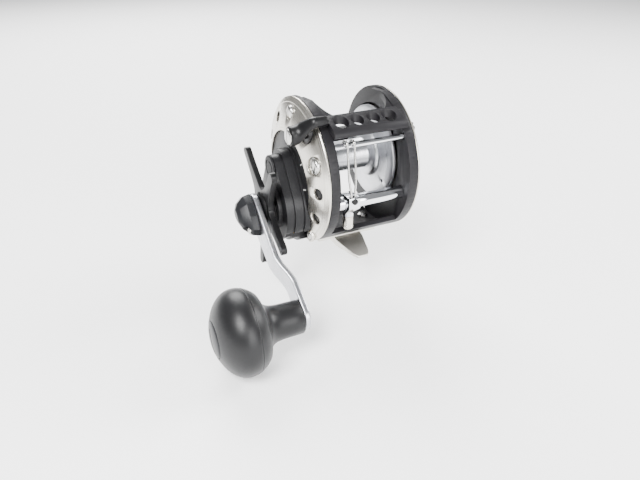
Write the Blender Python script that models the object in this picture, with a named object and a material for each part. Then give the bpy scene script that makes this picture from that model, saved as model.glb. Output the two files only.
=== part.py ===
"""Trolling reel with a level wind: a one-piece frame, two trimmed side plates, spool, drive train and crank.

Sizes are in millimetres and every mesh is scaled to metres when its object is made. X runs along the
spool axis with the handle at -X, -Y is the front of the reel (the side the line leaves), +Z is up.
The origin is on the seat of the foot, under the middle of the frame.
"""

import math

import bmesh
import bpy
from mathutils import Matrix, Vector

MM = 0.001
GAP = 0.3                                   # clearance kept between touching pieces

# Axes, as (y, z) places: every one of them runs along X.
SPOOL_AXIS = (0.0, 48.0)
PLATE_AXIS = (0.0, 44.35)
MODULE = 0.6
GEAR_TEETH = 54
PINION_TEETH = 14
CENTRE_DISTANCE = MODULE * (GEAR_TEETH + PINION_TEETH) / 2
DRIVE_FORWARD = 2.4
DRIVE_AXIS = (-DRIVE_FORWARD, SPOOL_AXIS[1] - math.sqrt(CENTRE_DISTANCE ** 2 - DRIVE_FORWARD ** 2))
GUIDE_BAR_AXIS = (-29.0, 65.4)
WORM_AXIS = (-30.0, 35.8)
KNOB_AXIS = (-53.3, -7.2)
LEVER_AXIS = (-18.0, 70.1)

# Frame and side plates.
PLATE_RADIUS = 38.0
FRAME_INNER_X = 19.2
FRAME_OUTER_X = 24.0
FRAME_STEP_X = 22.2                         # the back of each ring is only this plate, out to FRAME_OUTER_X
FRAME_BACK_RADIUS = 32.5
SPOOL_OPENING = 26.0
FLOOR_THICKNESS = 2.6
SEAT_PAD_Z = 6.7                            # flat underside of the frame, where the foot is fixed
RING_CONE_SLOPE = 0.343                     # how far the trim ring rises for each mm towards its middle
RING_SHOULDER = 35.2
OPENING_AXIS = (0.0, 41.2)                  # the window of the trim ring sits low, towards the gear housing
OPENING_RADIUS = 24.6
COVER_FACE_X = -30.2

# Gear housing: each step is one keyhole, a large circle on the drive axis and a small one on the spool axis.
HOUSING_STEPS = ((-31.3, 20.4, 11.5), (-36.0, 19.2, 9.3), (-40.2, 18.2, 6.8))
HOUSING_BOSS = (-42.2, 12.0)

# Level wind train.
LEVEL_DRIVE_TEETH = 28
IDLER_TEETH = 30
WORM_TEETH = 10
TRAIN_X = (-23.7, -21.5)

# Spool.
FLANGE_RADIUS = 25.0
ARBOR_RADIUS = 8.0
SHAFT_RADIUS = 1.5

# Crank.
DRIVE_SHAFT_RADIUS = 3.0
ARM_X = (-52.5, -49.5)
ARM_STEP = 4.5                              # how far the arm bends back towards the reel
ARM_BEND = (30.0, 47.0)
LEVER_BOSS_RADIUS = 4.6
STAR_RADIUS = 33.0
STAR_PHASE = math.radians(180.0 - 124.8)

# Level wind carriage at rest.
CARRIAGE_X = -11.0
CARRIAGE_HALF = 3.0

MATERIALS = {
    "graphite": ((0.045, 0.044, 0.048), 0.0, 0.55),
    "black_cover": ((0.030, 0.030, 0.033), 0.0, 0.42),
    "satin_silver": ((0.72, 0.70, 0.66), 1.0, 0.32),
    "polished_aluminium": ((0.88, 0.88, 0.89), 1.0, 0.15),
    "spool_aluminium": ((0.75, 0.75, 0.77), 1.0, 0.25),
    "chrome": ((0.85, 0.86, 0.88), 1.0, 0.08),
    "foot_steel": ((0.55, 0.54, 0.51), 1.0, 0.35),
    "soft_grip": ((0.028, 0.028, 0.030), 0.0, 0.60),
    "cap_grey": ((0.055, 0.055, 0.060), 0.0, 0.40),
    "black_plastic": ((0.015, 0.015, 0.016), 0.0, 0.35),
    "gear_brass": ((0.70, 0.52, 0.25), 1.0, 0.30),
    "stainless": ((0.62, 0.62, 0.62), 1.0, 0.28),
    "drag_fibre": ((0.09, 0.07, 0.05), 0.0, 0.80),
}


# ---------------------------------------------------------------------------
# Object and material helpers
# ---------------------------------------------------------------------------

def clear_scene():
    """Remove whatever the scene holds."""
    for item in list(bpy.data.objects):
        bpy.data.objects.remove(item, do_unlink=True)


def material(name):
    """Return the named Principled material, made on first use."""
    made = bpy.data.materials.get(name)
    if made:
        return made
    colour, metallic, roughness = MATERIALS[name]
    made = bpy.data.materials.new(name)
    made.use_nodes = True
    shader = made.node_tree.nodes["Principled BSDF"]
    shader.inputs["Base Color"].default_value = (*colour, 1.0)
    shader.inputs["Metallic"].default_value = metallic
    shader.inputs["Roughness"].default_value = roughness
    made.diffuse_color = (*colour, 1.0)
    return made


def empty(name, place, parent=None):
    """Make an empty at a place in mm: a moving assembly hangs from the one on its joint's axis."""
    item = bpy.data.objects.new(name, None)
    item.empty_display_size = 0.01
    bpy.context.collection.objects.link(item)
    item.matrix_world = Matrix.Translation(Vector(place) * MM)
    attach(item, parent)
    return item


def attach(item, parent):
    """Parent an object to another and keep it where it is."""
    if parent:
        bpy.context.view_layer.update()
        item.parent = parent
        item.matrix_parent_inverse = parent.matrix_world.inverted()


def make(name, bm, finish, place=(0.0, 0.0, 0.0), parent=None, sharp=35.0):
    """Turn a bmesh in mm into an object in metres, with its origin at place."""
    bmesh.ops.recalc_face_normals(bm, faces=bm.faces)
    if bm.calc_volume(signed=True) < 0.0:
        bmesh.ops.reverse_faces(bm, faces=bm.faces)
    bm.transform(Matrix.Translation(-Vector(place)))
    bm.transform(Matrix.Scale(MM, 4))
    mesh = bpy.data.meshes.new(name)
    bm.to_mesh(mesh)
    bm.free()
    mesh.shade_smooth()
    mesh.set_sharp_from_angle(angle=math.radians(sharp))
    item = bpy.data.objects.new(name, mesh)
    bpy.context.collection.objects.link(item)
    item.location = Vector(place) * MM
    bpy.context.view_layer.update()
    attach(item, parent)
    item.data.materials.append(material(finish))
    return item


def tool(name, bm):
    """Make a hidden shape that only cuts or joins another."""
    item = make(name, bm, "graphite")
    item.hide_render = True
    item.display_type = "WIRE"
    return item


def combine(target, shapes, operation):
    """Cut shapes from the target, or join them to it."""
    for number, bm in enumerate(shapes):
        other = tool(f"{target.name}_{operation.lower()}_{len(target.modifiers)}_{number}", bm)
        modifier = target.modifiers.new(other.name, "BOOLEAN")
        modifier.operation = operation
        modifier.object = other


def weld_combined():
    """Merge the coincident corners that joining and cutting leave behind."""
    for item in bpy.data.objects:
        if item.modifiers:
            weld = item.modifiers.new("weld", "WELD")
            weld.merge_threshold = 1e-5


def cut(target, *shapes):
    """Cut shapes out of the target."""
    combine(target, shapes, "DIFFERENCE")


def join(target, *shapes):
    """Add shapes to the target as one solid."""
    combine(target, shapes, "UNION")


# ---------------------------------------------------------------------------
# Shape helpers: each returns a closed bmesh in mm
# ---------------------------------------------------------------------------

def turned(profile, axis, segments=32):
    """Turn a profile of (x, radius) points about the line along X through axis.

    A profile that starts and ends at radius 0 makes a solid; any other is closed on itself as a ring.
    """
    bm = bmesh.new()
    verts = [bm.verts.new((x, 0.0, radius)) for x, radius in profile]
    edges = [bm.edges.new(pair) for pair in zip(verts, verts[1:])]
    if profile[0][1] > 0.0:
        edges.append(bm.edges.new((verts[-1], verts[0])))
    bmesh.ops.spin(bm, geom=verts + edges, cent=(0, 0, 0), axis=(1, 0, 0), dvec=(0, 0, 0),
                   angle=math.tau, steps=segments, use_merge=True)
    bmesh.ops.remove_doubles(bm, verts=bm.verts, dist=1e-4)
    bm.transform(Matrix.Translation((0.0, axis[0], axis[1])))
    return bm


def disc(x0, x1, radius, axis, segments=32):
    """Make a plain cylinder along X."""
    return turned([(x0, 0.0), (x0, radius), (x1, radius), (x1, 0.0)], axis, segments)


def washer(x0, x1, inner, outer, axis, segments=32):
    """Make a flat ring along X."""
    return turned([(x0, inner), (x0, outer), (x1, outer), (x1, inner)], axis, segments)


def upright(z0, z1, radius, x, y, segments=16):
    """Make a cylinder along Z."""
    bm = disc(z0, z1, radius, (0.0, 0.0), segments)
    bm.transform(Matrix.Translation((x, y, 0.0)) @ Matrix.Rotation(-math.pi / 2, 4, "Y"))
    return bm


def prism(outline, x0, x1):
    """Extrude an outline of (y, z) points along X."""
    bm = bmesh.new()
    face = bm.faces.new([bm.verts.new((x0, y, z)) for y, z in outline])
    grown = bmesh.ops.extrude_face_region(bm, geom=[face])
    moved = [item for item in grown["geom"] if isinstance(item, bmesh.types.BMVert)]
    bmesh.ops.translate(bm, verts=moved, vec=(x1 - x0, 0.0, 0.0))
    return bm


def block(x0, x1, y0, y1, z0, z1):
    """Make a box from its limits."""
    return prism([(y0, z0), (y1, z0), (y1, z1), (y0, z1)], x0, x1)


def arc(axis, radius, start, end, count):
    """Points of an arc in the YZ plane; angles in degrees from +Y towards +Z."""
    points = []
    for step in range(count + 1):
        angle = math.radians(start + (end - start) * step / count)
        points.append((axis[0] + radius * math.cos(angle), axis[1] + radius * math.sin(angle)))
    return points


def circle(axis, radius, count):
    """Points of a full circle."""
    return arc(axis, radius, 0.0, 360.0, count)[:-1]


def keyhole(low_radius, high_radius, count=20):
    """Outline round a circle on the drive axis and one on the spool axis, with straight tangents."""
    dy = SPOOL_AXIS[0] - DRIVE_AXIS[0]
    dz = SPOOL_AXIS[1] - DRIVE_AXIS[1]
    lean = math.degrees(math.atan2(dz, dy))
    spread = math.degrees(math.acos((low_radius - high_radius) / math.hypot(dy, dz)))
    high = arc(SPOOL_AXIS, high_radius, lean - spread, lean + spread, count // 2)
    low = arc(DRIVE_AXIS, low_radius, lean + spread, lean + 360.0 - spread, count)
    return high + low


def around(axis, radius, degrees):
    """Place at an angle round an axis; 0 is the front of the reel and 90 its top."""
    angle = math.radians(degrees)
    return (axis[0] - radius * math.cos(angle), axis[1] + radius * math.sin(angle))


# ---------------------------------------------------------------------------
# Gears
# ---------------------------------------------------------------------------

TOOTH_ROOT = 0.80                           # widths of a tooth, in mm at the gear's module
TOOTH_TIP = 0.30


def gear_outline(teeth, axis, phase):
    """Outline of a spur gear with one tooth centred on the phase angle (radians from +Y)."""
    pitch = MODULE * teeth / 2
    stations = ((pitch - 1.15 * MODULE, TOOTH_ROOT), (pitch + 0.8 * MODULE, TOOTH_TIP))
    points = []
    for tooth in range(teeth):
        middle = phase + math.tau * tooth / teeth
        sides = [(radius, -width / 2) for radius, width in stations]
        sides += [(radius, width / 2) for radius, width in reversed(stations)]
        for radius, across in sides:
            angle = middle + across / radius
            points.append((axis[0] + radius * math.cos(angle), axis[1] + radius * math.sin(angle)))
    return points


def heading(start, end):
    """Angle from one axis to another, in radians from +Y."""
    return math.atan2(end[1] - start[1], end[0] - start[0])


def meshing_phase(first_axis, first_teeth, first_phase, second_axis, second_teeth):
    """Phase that puts a gap of the second gear on the nearest tooth of the first."""
    toward = heading(first_axis, second_axis)
    step = math.tau / first_teeth
    offset = (first_phase - toward + step / 2) % step - step / 2
    return toward + math.pi - offset * first_teeth / second_teeth + math.pi / second_teeth


def meeting_point(first, first_distance, second, second_distance):
    """Place above the line between two axes, at the given distances from them; first is the rear one."""
    span = math.dist(first, second)
    along = (first_distance ** 2 - second_distance ** 2 + span ** 2) / (2 * span)
    aside = math.sqrt(first_distance ** 2 - along ** 2)
    uy, uz = (second[0] - first[0]) / span, (second[1] - first[1]) / span
    return (first[0] + along * uy + aside * uz, first[1] + along * uz - aside * uy)


LEVEL_DRIVE_RADIUS = MODULE * LEVEL_DRIVE_TEETH / 2
IDLER_RADIUS = MODULE * IDLER_TEETH / 2
WORM_GEAR_RADIUS = MODULE * WORM_TEETH / 2
IDLER_AXIS = meeting_point(DRIVE_AXIS, LEVEL_DRIVE_RADIUS + IDLER_RADIUS, WORM_AXIS, IDLER_RADIUS + WORM_GEAR_RADIUS)


# ---------------------------------------------------------------------------
# Frame
# ---------------------------------------------------------------------------

def ring_step_outline():
    """Outline of the thick part of a frame ring: full radius at the front, drawn in at the back."""
    front = arc(PLATE_AXIS, PLATE_RADIUS, 98.0, 265.0, 22)
    low = [around(PLATE_AXIS, radius, angle) for radius, angle in ((36.8, -95.0), (34.2, -101.0))]
    back = arc(PLATE_AXIS, FRAME_BACK_RADIUS, 289.0, 410.0, 10)
    high = [around(PLATE_AXIS, radius, angle) for radius, angle in ((33.4, 120.0), (35.2, 110.0), (37.0, 98.0))]
    return front + low + back + high


def bar_outline():
    """Section of the top bar: a thick plate that slopes down to a rounded front edge."""
    return [(-19.0, 77.9), (-24.0, 76.7), (-28.0, 75.2), (-30.6, 73.5), (-31.8, 71.6), (-31.2, 70.3),
            (-29.0, 71.0), (-25.0, 73.0), (-19.4, 74.4)]


def shell_outline(start, end, thickness, count):
    """Section of a stretch of the frame's shell, from one angle to another."""
    outer = arc(PLATE_AXIS, PLATE_RADIUS - 0.05, start, end, count)
    inner = arc(PLATE_AXIS, PLATE_RADIUS - thickness, end, start, count)
    return outer + inner


def corner_web(side):
    """Web that widens the top bar where it runs into a ring, with a concave edge."""
    reach = 8.5
    start, end, steps = 121.0, 97.0, 5
    outline = [(start, side * (FRAME_INNER_X + 0.5))]
    for step in range(steps + 1):
        rest = 1.0 - step / steps
        inset = reach * (1.0 - math.sqrt(1.0 - rest * rest)) if step else reach
        outline.append((start + (end - start) * step / steps, side * (FRAME_INNER_X - inset)))
    outline.append((end, side * (FRAME_INNER_X + 0.5)))
    bm = bmesh.new()
    layers = []
    for radius in (PLATE_RADIUS - 0.12, PLATE_RADIUS - 3.4):
        layer = []
        for angle, x in outline:
            turn = math.radians(angle)
            layer.append(bm.verts.new((x, PLATE_AXIS[0] + radius * math.cos(turn),
                                       PLATE_AXIS[1] + radius * math.sin(turn))))
        layers.append(layer)
    count = len(outline)
    for index in range(count):
        after = (index + 1) % count
        bm.faces.new((layers[0][index], layers[0][after], layers[1][after], layers[1][index]))
    for layer in layers:
        bmesh.ops.triangulate(bm, faces=[bm.faces.new(layer)])
    return bm


def build_frame():
    """Make the one-piece graphite frame: two rings, top bar with four holes, rear bar and floor."""
    step = ring_step_outline()
    frame = make("frame", prism(step, FRAME_INNER_X, FRAME_STEP_X + 0.4), "graphite")
    join(frame,
         disc(FRAME_STEP_X, FRAME_OUTER_X, PLATE_RADIUS, PLATE_AXIS, 44),
         prism(step, -FRAME_STEP_X - 0.4, -FRAME_INNER_X),
         disc(-FRAME_OUTER_X, -FRAME_STEP_X, PLATE_RADIUS, PLATE_AXIS, 44),
         prism(bar_outline(), -FRAME_INNER_X - 0.6, FRAME_INNER_X + 0.6),
         corner_web(-1),
         corner_web(1),
         prism(shell_outline(223.0, 292.0, FLOOR_THICKNESS, 9), -FRAME_INNER_X - 0.6, FRAME_INNER_X + 0.6),
         prism(shell_outline(-9.0, 9.0, 3.2, 4), -FRAME_OUTER_X + 0.7, FRAME_OUTER_X - 0.7))
    cut(frame,
        disc(-FRAME_OUTER_X - 1.0, FRAME_OUTER_X + 1.0, SPOOL_OPENING, SPOOL_AXIS, 38),
        block(-40.0, 40.0, -40.0, 40.0, 0.0, SEAT_PAD_Z))
    holes = ((-13.4, 3.9), (-4.8, 3.3), (4.0, 3.3), (12.6, 3.9))
    cut(frame, *[tilted_hole(x, radius) for x, radius in holes])
    pocket = 3.0
    train = ((DRIVE_AXIS, LEVEL_DRIVE_RADIUS), (IDLER_AXIS, IDLER_RADIUS), (WORM_AXIS, WORM_GEAR_RADIUS))
    for axis, radius in train:
        cut(frame, disc(-FRAME_OUTER_X - 0.5, -FRAME_OUTER_X + pocket, radius + 1.3, axis, 16))
    cut(frame,
        disc(-22.0, -18.0, 1.8, WORM_AXIS, 16),
        disc(18.0, 21.6, 1.9, WORM_AXIS, 16),
        disc(-21.4, -18.0, 1.8, GUIDE_BAR_AXIS, 16),
        disc(18.0, 21.4, 1.8, GUIDE_BAR_AXIS, 16))
    for x in FOOT_SCREW_X:
        cut(frame, upright(4.0, 12.0, 1.9, x, 0.0))
    return frame


def tilted_hole(x, radius):
    """Cutter for one hole of the top bar, square to its sloping face."""
    bm = disc(-6.0, 6.0, radius, (0.0, 0.0), 16)
    lean = math.radians(-110.0)
    bm.transform(Matrix.Translation((x, -25.2, 75.2)) @ Matrix.Rotation(lean, 4, "X") @
                 Matrix.Rotation(math.pi / 2, 4, "Z"))
    return bm


# ---------------------------------------------------------------------------
# Foot
# ---------------------------------------------------------------------------

FOOT_HALF_LENGTH = 28.5
FOOT_BASE = (17.5, 9.0)
FOOT_SCREW_X = (-14.4, 14.4)
FOOT_TOP_Z = SEAT_PAD_Z - GAP


def build_foot():
    """Make the foot: a base plate under the frame and two tapered tongues that lie in the rod's seat."""
    tongue = [(-FOOT_HALF_LENGTH, 0.0), (-FOOT_HALF_LENGTH, 1.3), (-FOOT_BASE[1], 4.6), (-5.0, 6.0), (5.0, 6.0),
              (FOOT_BASE[1], 4.6), (FOOT_HALF_LENGTH, 1.3), (FOOT_HALF_LENGTH, 0.0)]
    foot = make("foot", prism(tongue, -8.0, 8.0), "foot_steel")
    for side in (-1, 1):
        for end in (-1, 1):
            cut(foot, taper_cutter(side, end))
    join(foot, block(-FOOT_BASE[0], FOOT_BASE[0], -FOOT_BASE[1], FOOT_BASE[1], 3.6, FOOT_TOP_Z))
    for number, x in enumerate(FOOT_SCREW_X, start=1):
        cut(foot, upright(1.0, 9.0, 1.9, x, 0.0))
        build_foot_screw(number, x)


def taper_cutter(side, end):
    """Wedge that narrows one edge of a tongue towards its tip."""
    root = (side * 8.4, end * (FOOT_BASE[1] + 1.0))
    tip = (side * 4.4, end * (FOOT_HALF_LENGTH - 2.2))
    nose = (side * 2.6, end * (FOOT_HALF_LENGTH + 0.6))
    far = (side * 14.0, end * (FOOT_HALF_LENGTH + 0.6))
    near = (side * 14.0, end * (FOOT_BASE[1] + 1.0))
    bm = bmesh.new()
    face = bm.faces.new([bm.verts.new((x, y, -1.0)) for x, y in (root, tip, nose, far, near)])
    grown = bmesh.ops.extrude_face_region(bm, geom=[face])
    moved = [item for item in grown["geom"] if isinstance(item, bmesh.types.BMVert)]
    bmesh.ops.translate(bm, verts=moved, vec=(0.0, 0.0, 12.0))
    return bm


def build_foot_screw(number, x):
    """Make one screw that holds the frame to the foot: shank below, domed head inside the frame."""
    head_z = SEAT_PAD_Z + FLOOR_THICKNESS - 0.35
    profile = [(3.9, 0.0), (3.9, 1.5), (head_z + GAP, 1.5), (head_z + GAP, 3.0), (head_z + 1.3, 2.7),
               (head_z + 2.0, 1.6), (head_z + 2.2, 0.0)]
    bm = turned(profile, (0.0, 0.0), 16)
    bm.transform(Matrix.Translation((x, 0.0, 0.0)) @ Matrix.Rotation(-math.pi / 2, 4, "Y"))
    make(f"foot_screw_{number}", bm, "stainless")


# ---------------------------------------------------------------------------
# Side plates
# ---------------------------------------------------------------------------

RING_SCREWS = ((25.0, 30.2, 4.3), (93.0, 31.0, 3.3), (205.0, 31.0, 3.3), (-57.0, 34.4, 2.9))
RING_HOLES = ((-1.0, 31.0), (-29.0, 31.6), (126.0, 29.6), (160.0, 30.6))
FAR_SCREWS = ((45.0, 31.0, 3.3), (165.0, 31.0, 3.3), (285.0, 31.0, 3.3))
FAR_HOLES = ((105.0, 31.0), (225.0, 31.0), (345.0, 31.0))


TAB_RADIUS = 4.0                            # the handle side ring's lowest screw sits on a round tab
TAB_PLACE = around(PLATE_AXIS, RING_SCREWS[3][1], RING_SCREWS[3][0])
LOW_GAP = (-106.0, -74.0)                   # the housing breaks the ring between these angles


def cone_x(radius):
    """Distance from the middle of the reel of the trim ring's outer face."""
    return 26.9 + (RING_SHOULDER - radius) * RING_CONE_SLOPE


def trim_profile(side):
    """Section of a trim ring: rim, bevel and cone, 1.3 mm thick."""
    inner = 19.5
    return [(side * 24.3, 36.6), (side * 24.3, PLATE_RADIUS), (side * 25.0, PLATE_RADIUS),
            (side * 26.9, RING_SHOULDER), (side * cone_x(inner), inner), (side * (cone_x(inner) - 1.3), inner),
            (side * 25.6, RING_SHOULDER - 0.5)]


def build_trim_rings():
    """Make the two silver trim rings; the handle side's is broken by the gear housing and the lever."""
    near = make("handle_side_ring", turned(trim_profile(-1), PLATE_AXIS, 44), "satin_silver")
    cut(near, disc(-36.0, -20.0, OPENING_RADIUS, OPENING_AXIS, 34))
    base = HOUSING_STEPS[0]
    cut(near,
        prism(keyhole(base[1] + GAP, base[2] + GAP, 20), -36.0, -20.0),
        prism([PLATE_AXIS] + [around(PLATE_AXIS, 40.0, angle) for angle in LOW_GAP], -36.0, -20.0),
        disc(-36.0, -20.0, LEVER_BOSS_RADIUS + GAP, LEVER_AXIS, 18))
    join(near, disc(-27.7, -26.3, TAB_RADIUS, TAB_PLACE, 18))
    for angle, distance, radius in RING_SCREWS:
        cut(near, disc(-34.0, -20.0, radius + GAP, around(PLATE_AXIS, distance, angle), 14))
    for angle, distance in RING_HOLES:
        cut(near, disc(-34.0, -20.0, 3.0, around(PLATE_AXIS, distance, angle), 12))

    far = make("far_side_ring", turned(trim_profile(1), PLATE_AXIS, 44), "satin_silver")
    cut(far, disc(20.0, 36.0, OPENING_RADIUS, PLATE_AXIS, 34))
    for angle, distance, radius in FAR_SCREWS:
        cut(far, disc(20.0, 34.0, radius + GAP, around(PLATE_AXIS, distance, angle), 14))
    for angle, distance in FAR_HOLES:
        cut(far, disc(20.0, 34.0, 3.0, around(PLATE_AXIS, distance, angle), 12))


def ring_screw(name, side, place, distance, radius):
    """Make one trim-ring screw: a domed head with a straight slot, sunk in the ring."""
    face = cone_x(distance) + 0.5
    profile = [(side * 26.6, 0.0), (side * 26.6, radius), (side * (face - 0.5), radius),
               (side * (face + 0.2), radius * 0.8), (side * (face + 0.6), radius * 0.4), (side * (face + 0.7), 0.0)]
    if side > 0:
        profile.reverse()
    screw = make(name, turned(profile, place, 14), "stainless")
    slot = block(min(side * 40, side * (face - 0.5)), max(side * 40, side * (face - 0.5)),
                 place[0] - 0.5, place[0] + 0.5, place[1] - 8.0, place[1] + 8.0)
    cut(screw, slot)


def cover_profile(side, opening_face):
    """Section of a side cover under its trim ring, out to the face inside the ring."""
    cone_end = RING_SHOULDER - (opening_face - 26.9 + 1.6) / RING_CONE_SLOPE
    return [(side * 24.3, 0.0), (side * 24.3, 36.2), (side * 25.3, 34.5), (side * (opening_face), cone_end),
            (side * opening_face, 0.0)]


CAM_POCKET = (arc(LEVER_AXIS, 3.8, -25.0, 205.0, 12) + arc(LEVER_AXIS, 5.4, -155.0, -130.0, 2)
              + arc(LEVER_AXIS, 7.8, -130.0, -25.0, 6))


def build_handle_side_cover():
    """Make the handle side cover: a cone under the ring, the keyhole-stepped gear housing and a lever boss."""
    face = -COVER_FACE_X
    cover = make("handle_side_cover", turned(cover_profile(-1, face), PLATE_AXIS, 40), "black_cover")
    join(cover, disc(COVER_FACE_X, -27.5, OPENING_RADIUS - 0.4, OPENING_AXIS, 34))
    for number, (front, low, high) in enumerate(HOUSING_STEPS):
        join(cover, prism(keyhole(low, high, 20), front, -26.6 - 0.2 * number))
    low = [around(PLATE_AXIS, 37.4, angle) for angle in (-104.5, -97.0, -90.0, -83.0, -75.5)]
    join(cover,
         disc(HOUSING_BOSS[0], -38.0, HOUSING_BOSS[1], DRIVE_AXIS, 28),
         disc(-29.0, -25.6, LEVER_BOSS_RADIUS, LEVER_AXIS, 18),
         prism([DRIVE_AXIS] + low, -29.6, -24.3))
    cut(cover, disc(-31.4, -26.3, TAB_RADIUS + GAP, TAB_PLACE, 18))
    cut(cover,
        turned([(-22.0, 0.0), (-22.0, 35.3), (-24.9, 35.0), (-25.2, 32.5), (-28.6, 22.6), (-28.6, 0.0)],
               PLATE_AXIS, 34),
        prism(keyhole(15.4, 10.0, 14), -31.2, -21.0),
        prism(keyhole(17.4, 7.6, 14), -35.4, -31.0),
        prism(keyhole(15.0, 5.2, 14), -38.8, -35.2),
        disc(-45.0, -22.0, 5.2, SPOOL_AXIS, 18),
        disc(-45.0, -22.0, 6.6, DRIVE_AXIS, 18),
        disc(-33.0, -22.0, 2.4, LEVER_AXIS, 16),
        prism(CAM_POCKET, -27.03, -22.1))
    for angle, distance, radius in RING_SCREWS:
        cut(cover, disc(-40.0, -26.3, radius + GAP, around(PLATE_AXIS, distance, angle), 14))
    return cover


def build_far_side_cover():
    """Make the far side cover: a low dish inside its ring, with a bearing boss and the clicker's slot."""
    cover = make("far_side_cover", turned(cover_profile(1, 30.0)[::-1], PLATE_AXIS, 40), "black_cover")
    cut(cover,
        turned([(28.4, 0.0), (28.4, 22.6), (25.2, 32.5), (24.9, 35.0), (22.0, 35.3), (22.0, 0.0)],
               PLATE_AXIS, 34))
    join(cover, disc(24.4, 29.0, 6.8, SPOOL_AXIS, 20))
    cut(cover,
        disc(20.0, 34.0, 5.2, SPOOL_AXIS, 20),
        block(26.0, 34.0, *CLICKER_SLOT_Y, *CLICKER_SLOT_Z))
    for angle, distance, radius in FAR_SCREWS:
        cut(cover, disc(26.3, 40.0, radius + GAP, around(PLATE_AXIS, distance, angle), 14))
    return cover


def build_bridge_plate():
    """Make the plate that carries the gears, with its idler stud, dog post and the yoke's two posts."""
    bridge = make("bridge_plate", disc(-25.8, -24.3, 29.6, PLATE_AXIS, 32), "stainless")
    cut(bridge,
        disc(-27.0, -23.0, 4.6, SPOOL_AXIS, 18),
        disc(-27.0, -23.0, DRIVE_SHAFT_RADIUS + 0.35, DRIVE_AXIS, 18),
        disc(-27.0, -23.0, 7.2, LEVER_AXIS, 18))
    join(bridge,
         disc(-25.0, -21.2, 1.5, IDLER_AXIS, 16),
         disc(-28.6, -25.0, 1.2, DOG_AXIS, 14),
         *[disc(-30.4, -25.0, 1.0, (y, SPOOL_AXIS[1]), 12) for y in YOKE_POST_Y])


# ---------------------------------------------------------------------------
# Drive train on the crank
# ---------------------------------------------------------------------------

def build_drive_train(crank):
    """Make the shaft, gears, ratchet and drag stack that turn with the crank."""
    def on_crank(name, bm, finish):
        return make(name, bm, finish, (-40.0, *DRIVE_AXIS), crank)

    radius = DRIVE_SHAFT_RADIUS
    on_crank("drive_shaft", disc(-56.6, -21.2, radius, DRIVE_AXIS, 18), "stainless")

    bore = radius + GAP
    level = on_crank("level_drive_gear", prism(gear_outline(LEVEL_DRIVE_TEETH, DRIVE_AXIS, 0.0), *TRAIN_X),
                     "gear_brass")
    cut(level, disc(-30.0, -20.0, bore, DRIVE_AXIS, 18))

    toward_pinion = heading(DRIVE_AXIS, SPOOL_AXIS)
    gear = on_crank("drive_gear", prism(gear_outline(GEAR_TEETH, DRIVE_AXIS, toward_pinion), -35.0, -31.6),
                    "gear_brass")
    cut(gear, disc(-40.0, -30.0, bore, DRIVE_AXIS, 18), disc(-40.0, -33.6, 13.6, DRIVE_AXIS, 32))

    ratchet_outline = []
    for tooth in range(RATCHET_TEETH):
        for turn, reach in ((0.0, 9.2), (0.45, 9.0), (0.95, 7.2)):
            angle = math.tau * (tooth + turn) / RATCHET_TEETH
            ratchet_outline.append((DRIVE_AXIS[0] + reach * math.cos(angle), DRIVE_AXIS[1] + reach * math.sin(angle)))
    ratchet = on_crank("ratchet", prism(ratchet_outline, -28.6, -27.0), "stainless")
    cut(ratchet, disc(-40.0, -20.0, bore, DRIVE_AXIS, 18))

    stack = (("drag_washer_inner", "drag_fibre"), ("drag_plate", "stainless"), ("drag_washer_outer", "drag_fibre"))
    thick = 0.9
    start = -33.9
    for number, (name, finish) in enumerate(stack):
        x = start - number * (thick + GAP)
        on_crank(name, washer(x - thick, x, bore, 13.0, DRIVE_AXIS, 18), finish)
    on_crank("pressure_plate", washer(-38.5, -37.5, bore, 13.0, DRIVE_AXIS, 18), "stainless")


RATCHET_TEETH = 10
SPACER_X = (-41.0, -39.1)
STAR_HUB_X = (-48.7, -43.0)


def star_outline(arms, outer, valley):
    """Outline of the star: tapered arms with round tips, joined by rounded valleys."""
    tip_radius = 2.5
    centre = outer - tip_radius
    flank = ((9.5, 5.6), (13.0, 4.1), (19.0, 3.1), (25.0, 2.6))
    points = []
    for arm in range(arms):
        angle = STAR_PHASE + math.tau * arm / arms
        local = [(valley * math.cos(math.pi / arms), -valley * math.sin(math.pi / arms))]
        local += [(along, -across) for along, across in flank]
        for step in range(5):
            turn = math.radians(-90.0 + 45.0 * step)
            local.append((centre + tip_radius * math.cos(turn), tip_radius * math.sin(turn)))
        local += [(along, across) for along, across in reversed(flank)]
        for along, across in local:
            points.append((DRIVE_AXIS[0] + along * math.cos(angle) - across * math.sin(angle),
                           DRIVE_AXIS[1] + along * math.sin(angle) + across * math.cos(angle)))
    return points


def build_star(star):
    """Make the five-armed star wheel, its arms cranked out towards the handle."""
    bm = prism(star_outline(5, STAR_RADIUS, 10.6), -47.3, -44.4)
    lean = 0.075
    for vert in bm.verts:
        reach = math.hypot(vert.co.y - DRIVE_AXIS[0], vert.co.z - DRIVE_AXIS[1])
        vert.co.x -= lean * max(0.0, reach - 14.0)
    bmesh.ops.bevel(bm, geom=[edge for edge in bm.edges if abs(edge.verts[0].co.x - edge.verts[1].co.x) < 1.5],
                    affect="EDGES", offset=0.6, segments=1, profile=0.5, material=-1)
    wheel = make("star_wheel", bm, "black_plastic", (-45.0, *DRIVE_AXIS), star)
    join(wheel, disc(*STAR_HUB_X, 8.6, DRIVE_AXIS, 32))
    cut(wheel, disc(-55.0, -40.0, DRIVE_SHAFT_RADIUS + 0.35, DRIVE_AXIS, 18))


def arm_direction():
    """Unit (y, z) direction from the drive axis to the knob's axis, and their distance."""
    span = math.dist(DRIVE_AXIS, KNOB_AXIS)
    return ((KNOB_AXIS[0] - DRIVE_AXIS[0]) / span, (KNOB_AXIS[1] - DRIVE_AXIS[1]) / span, span)


def arm_offset(along):
    """How far the arm has bent back towards the reel at a distance along it."""
    start, end = ARM_BEND
    t = min(1.0, max(0.0, (along - start) / (end - start)))
    return ARM_STEP * t * t * (3.0 - 2.0 * t)


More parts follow.
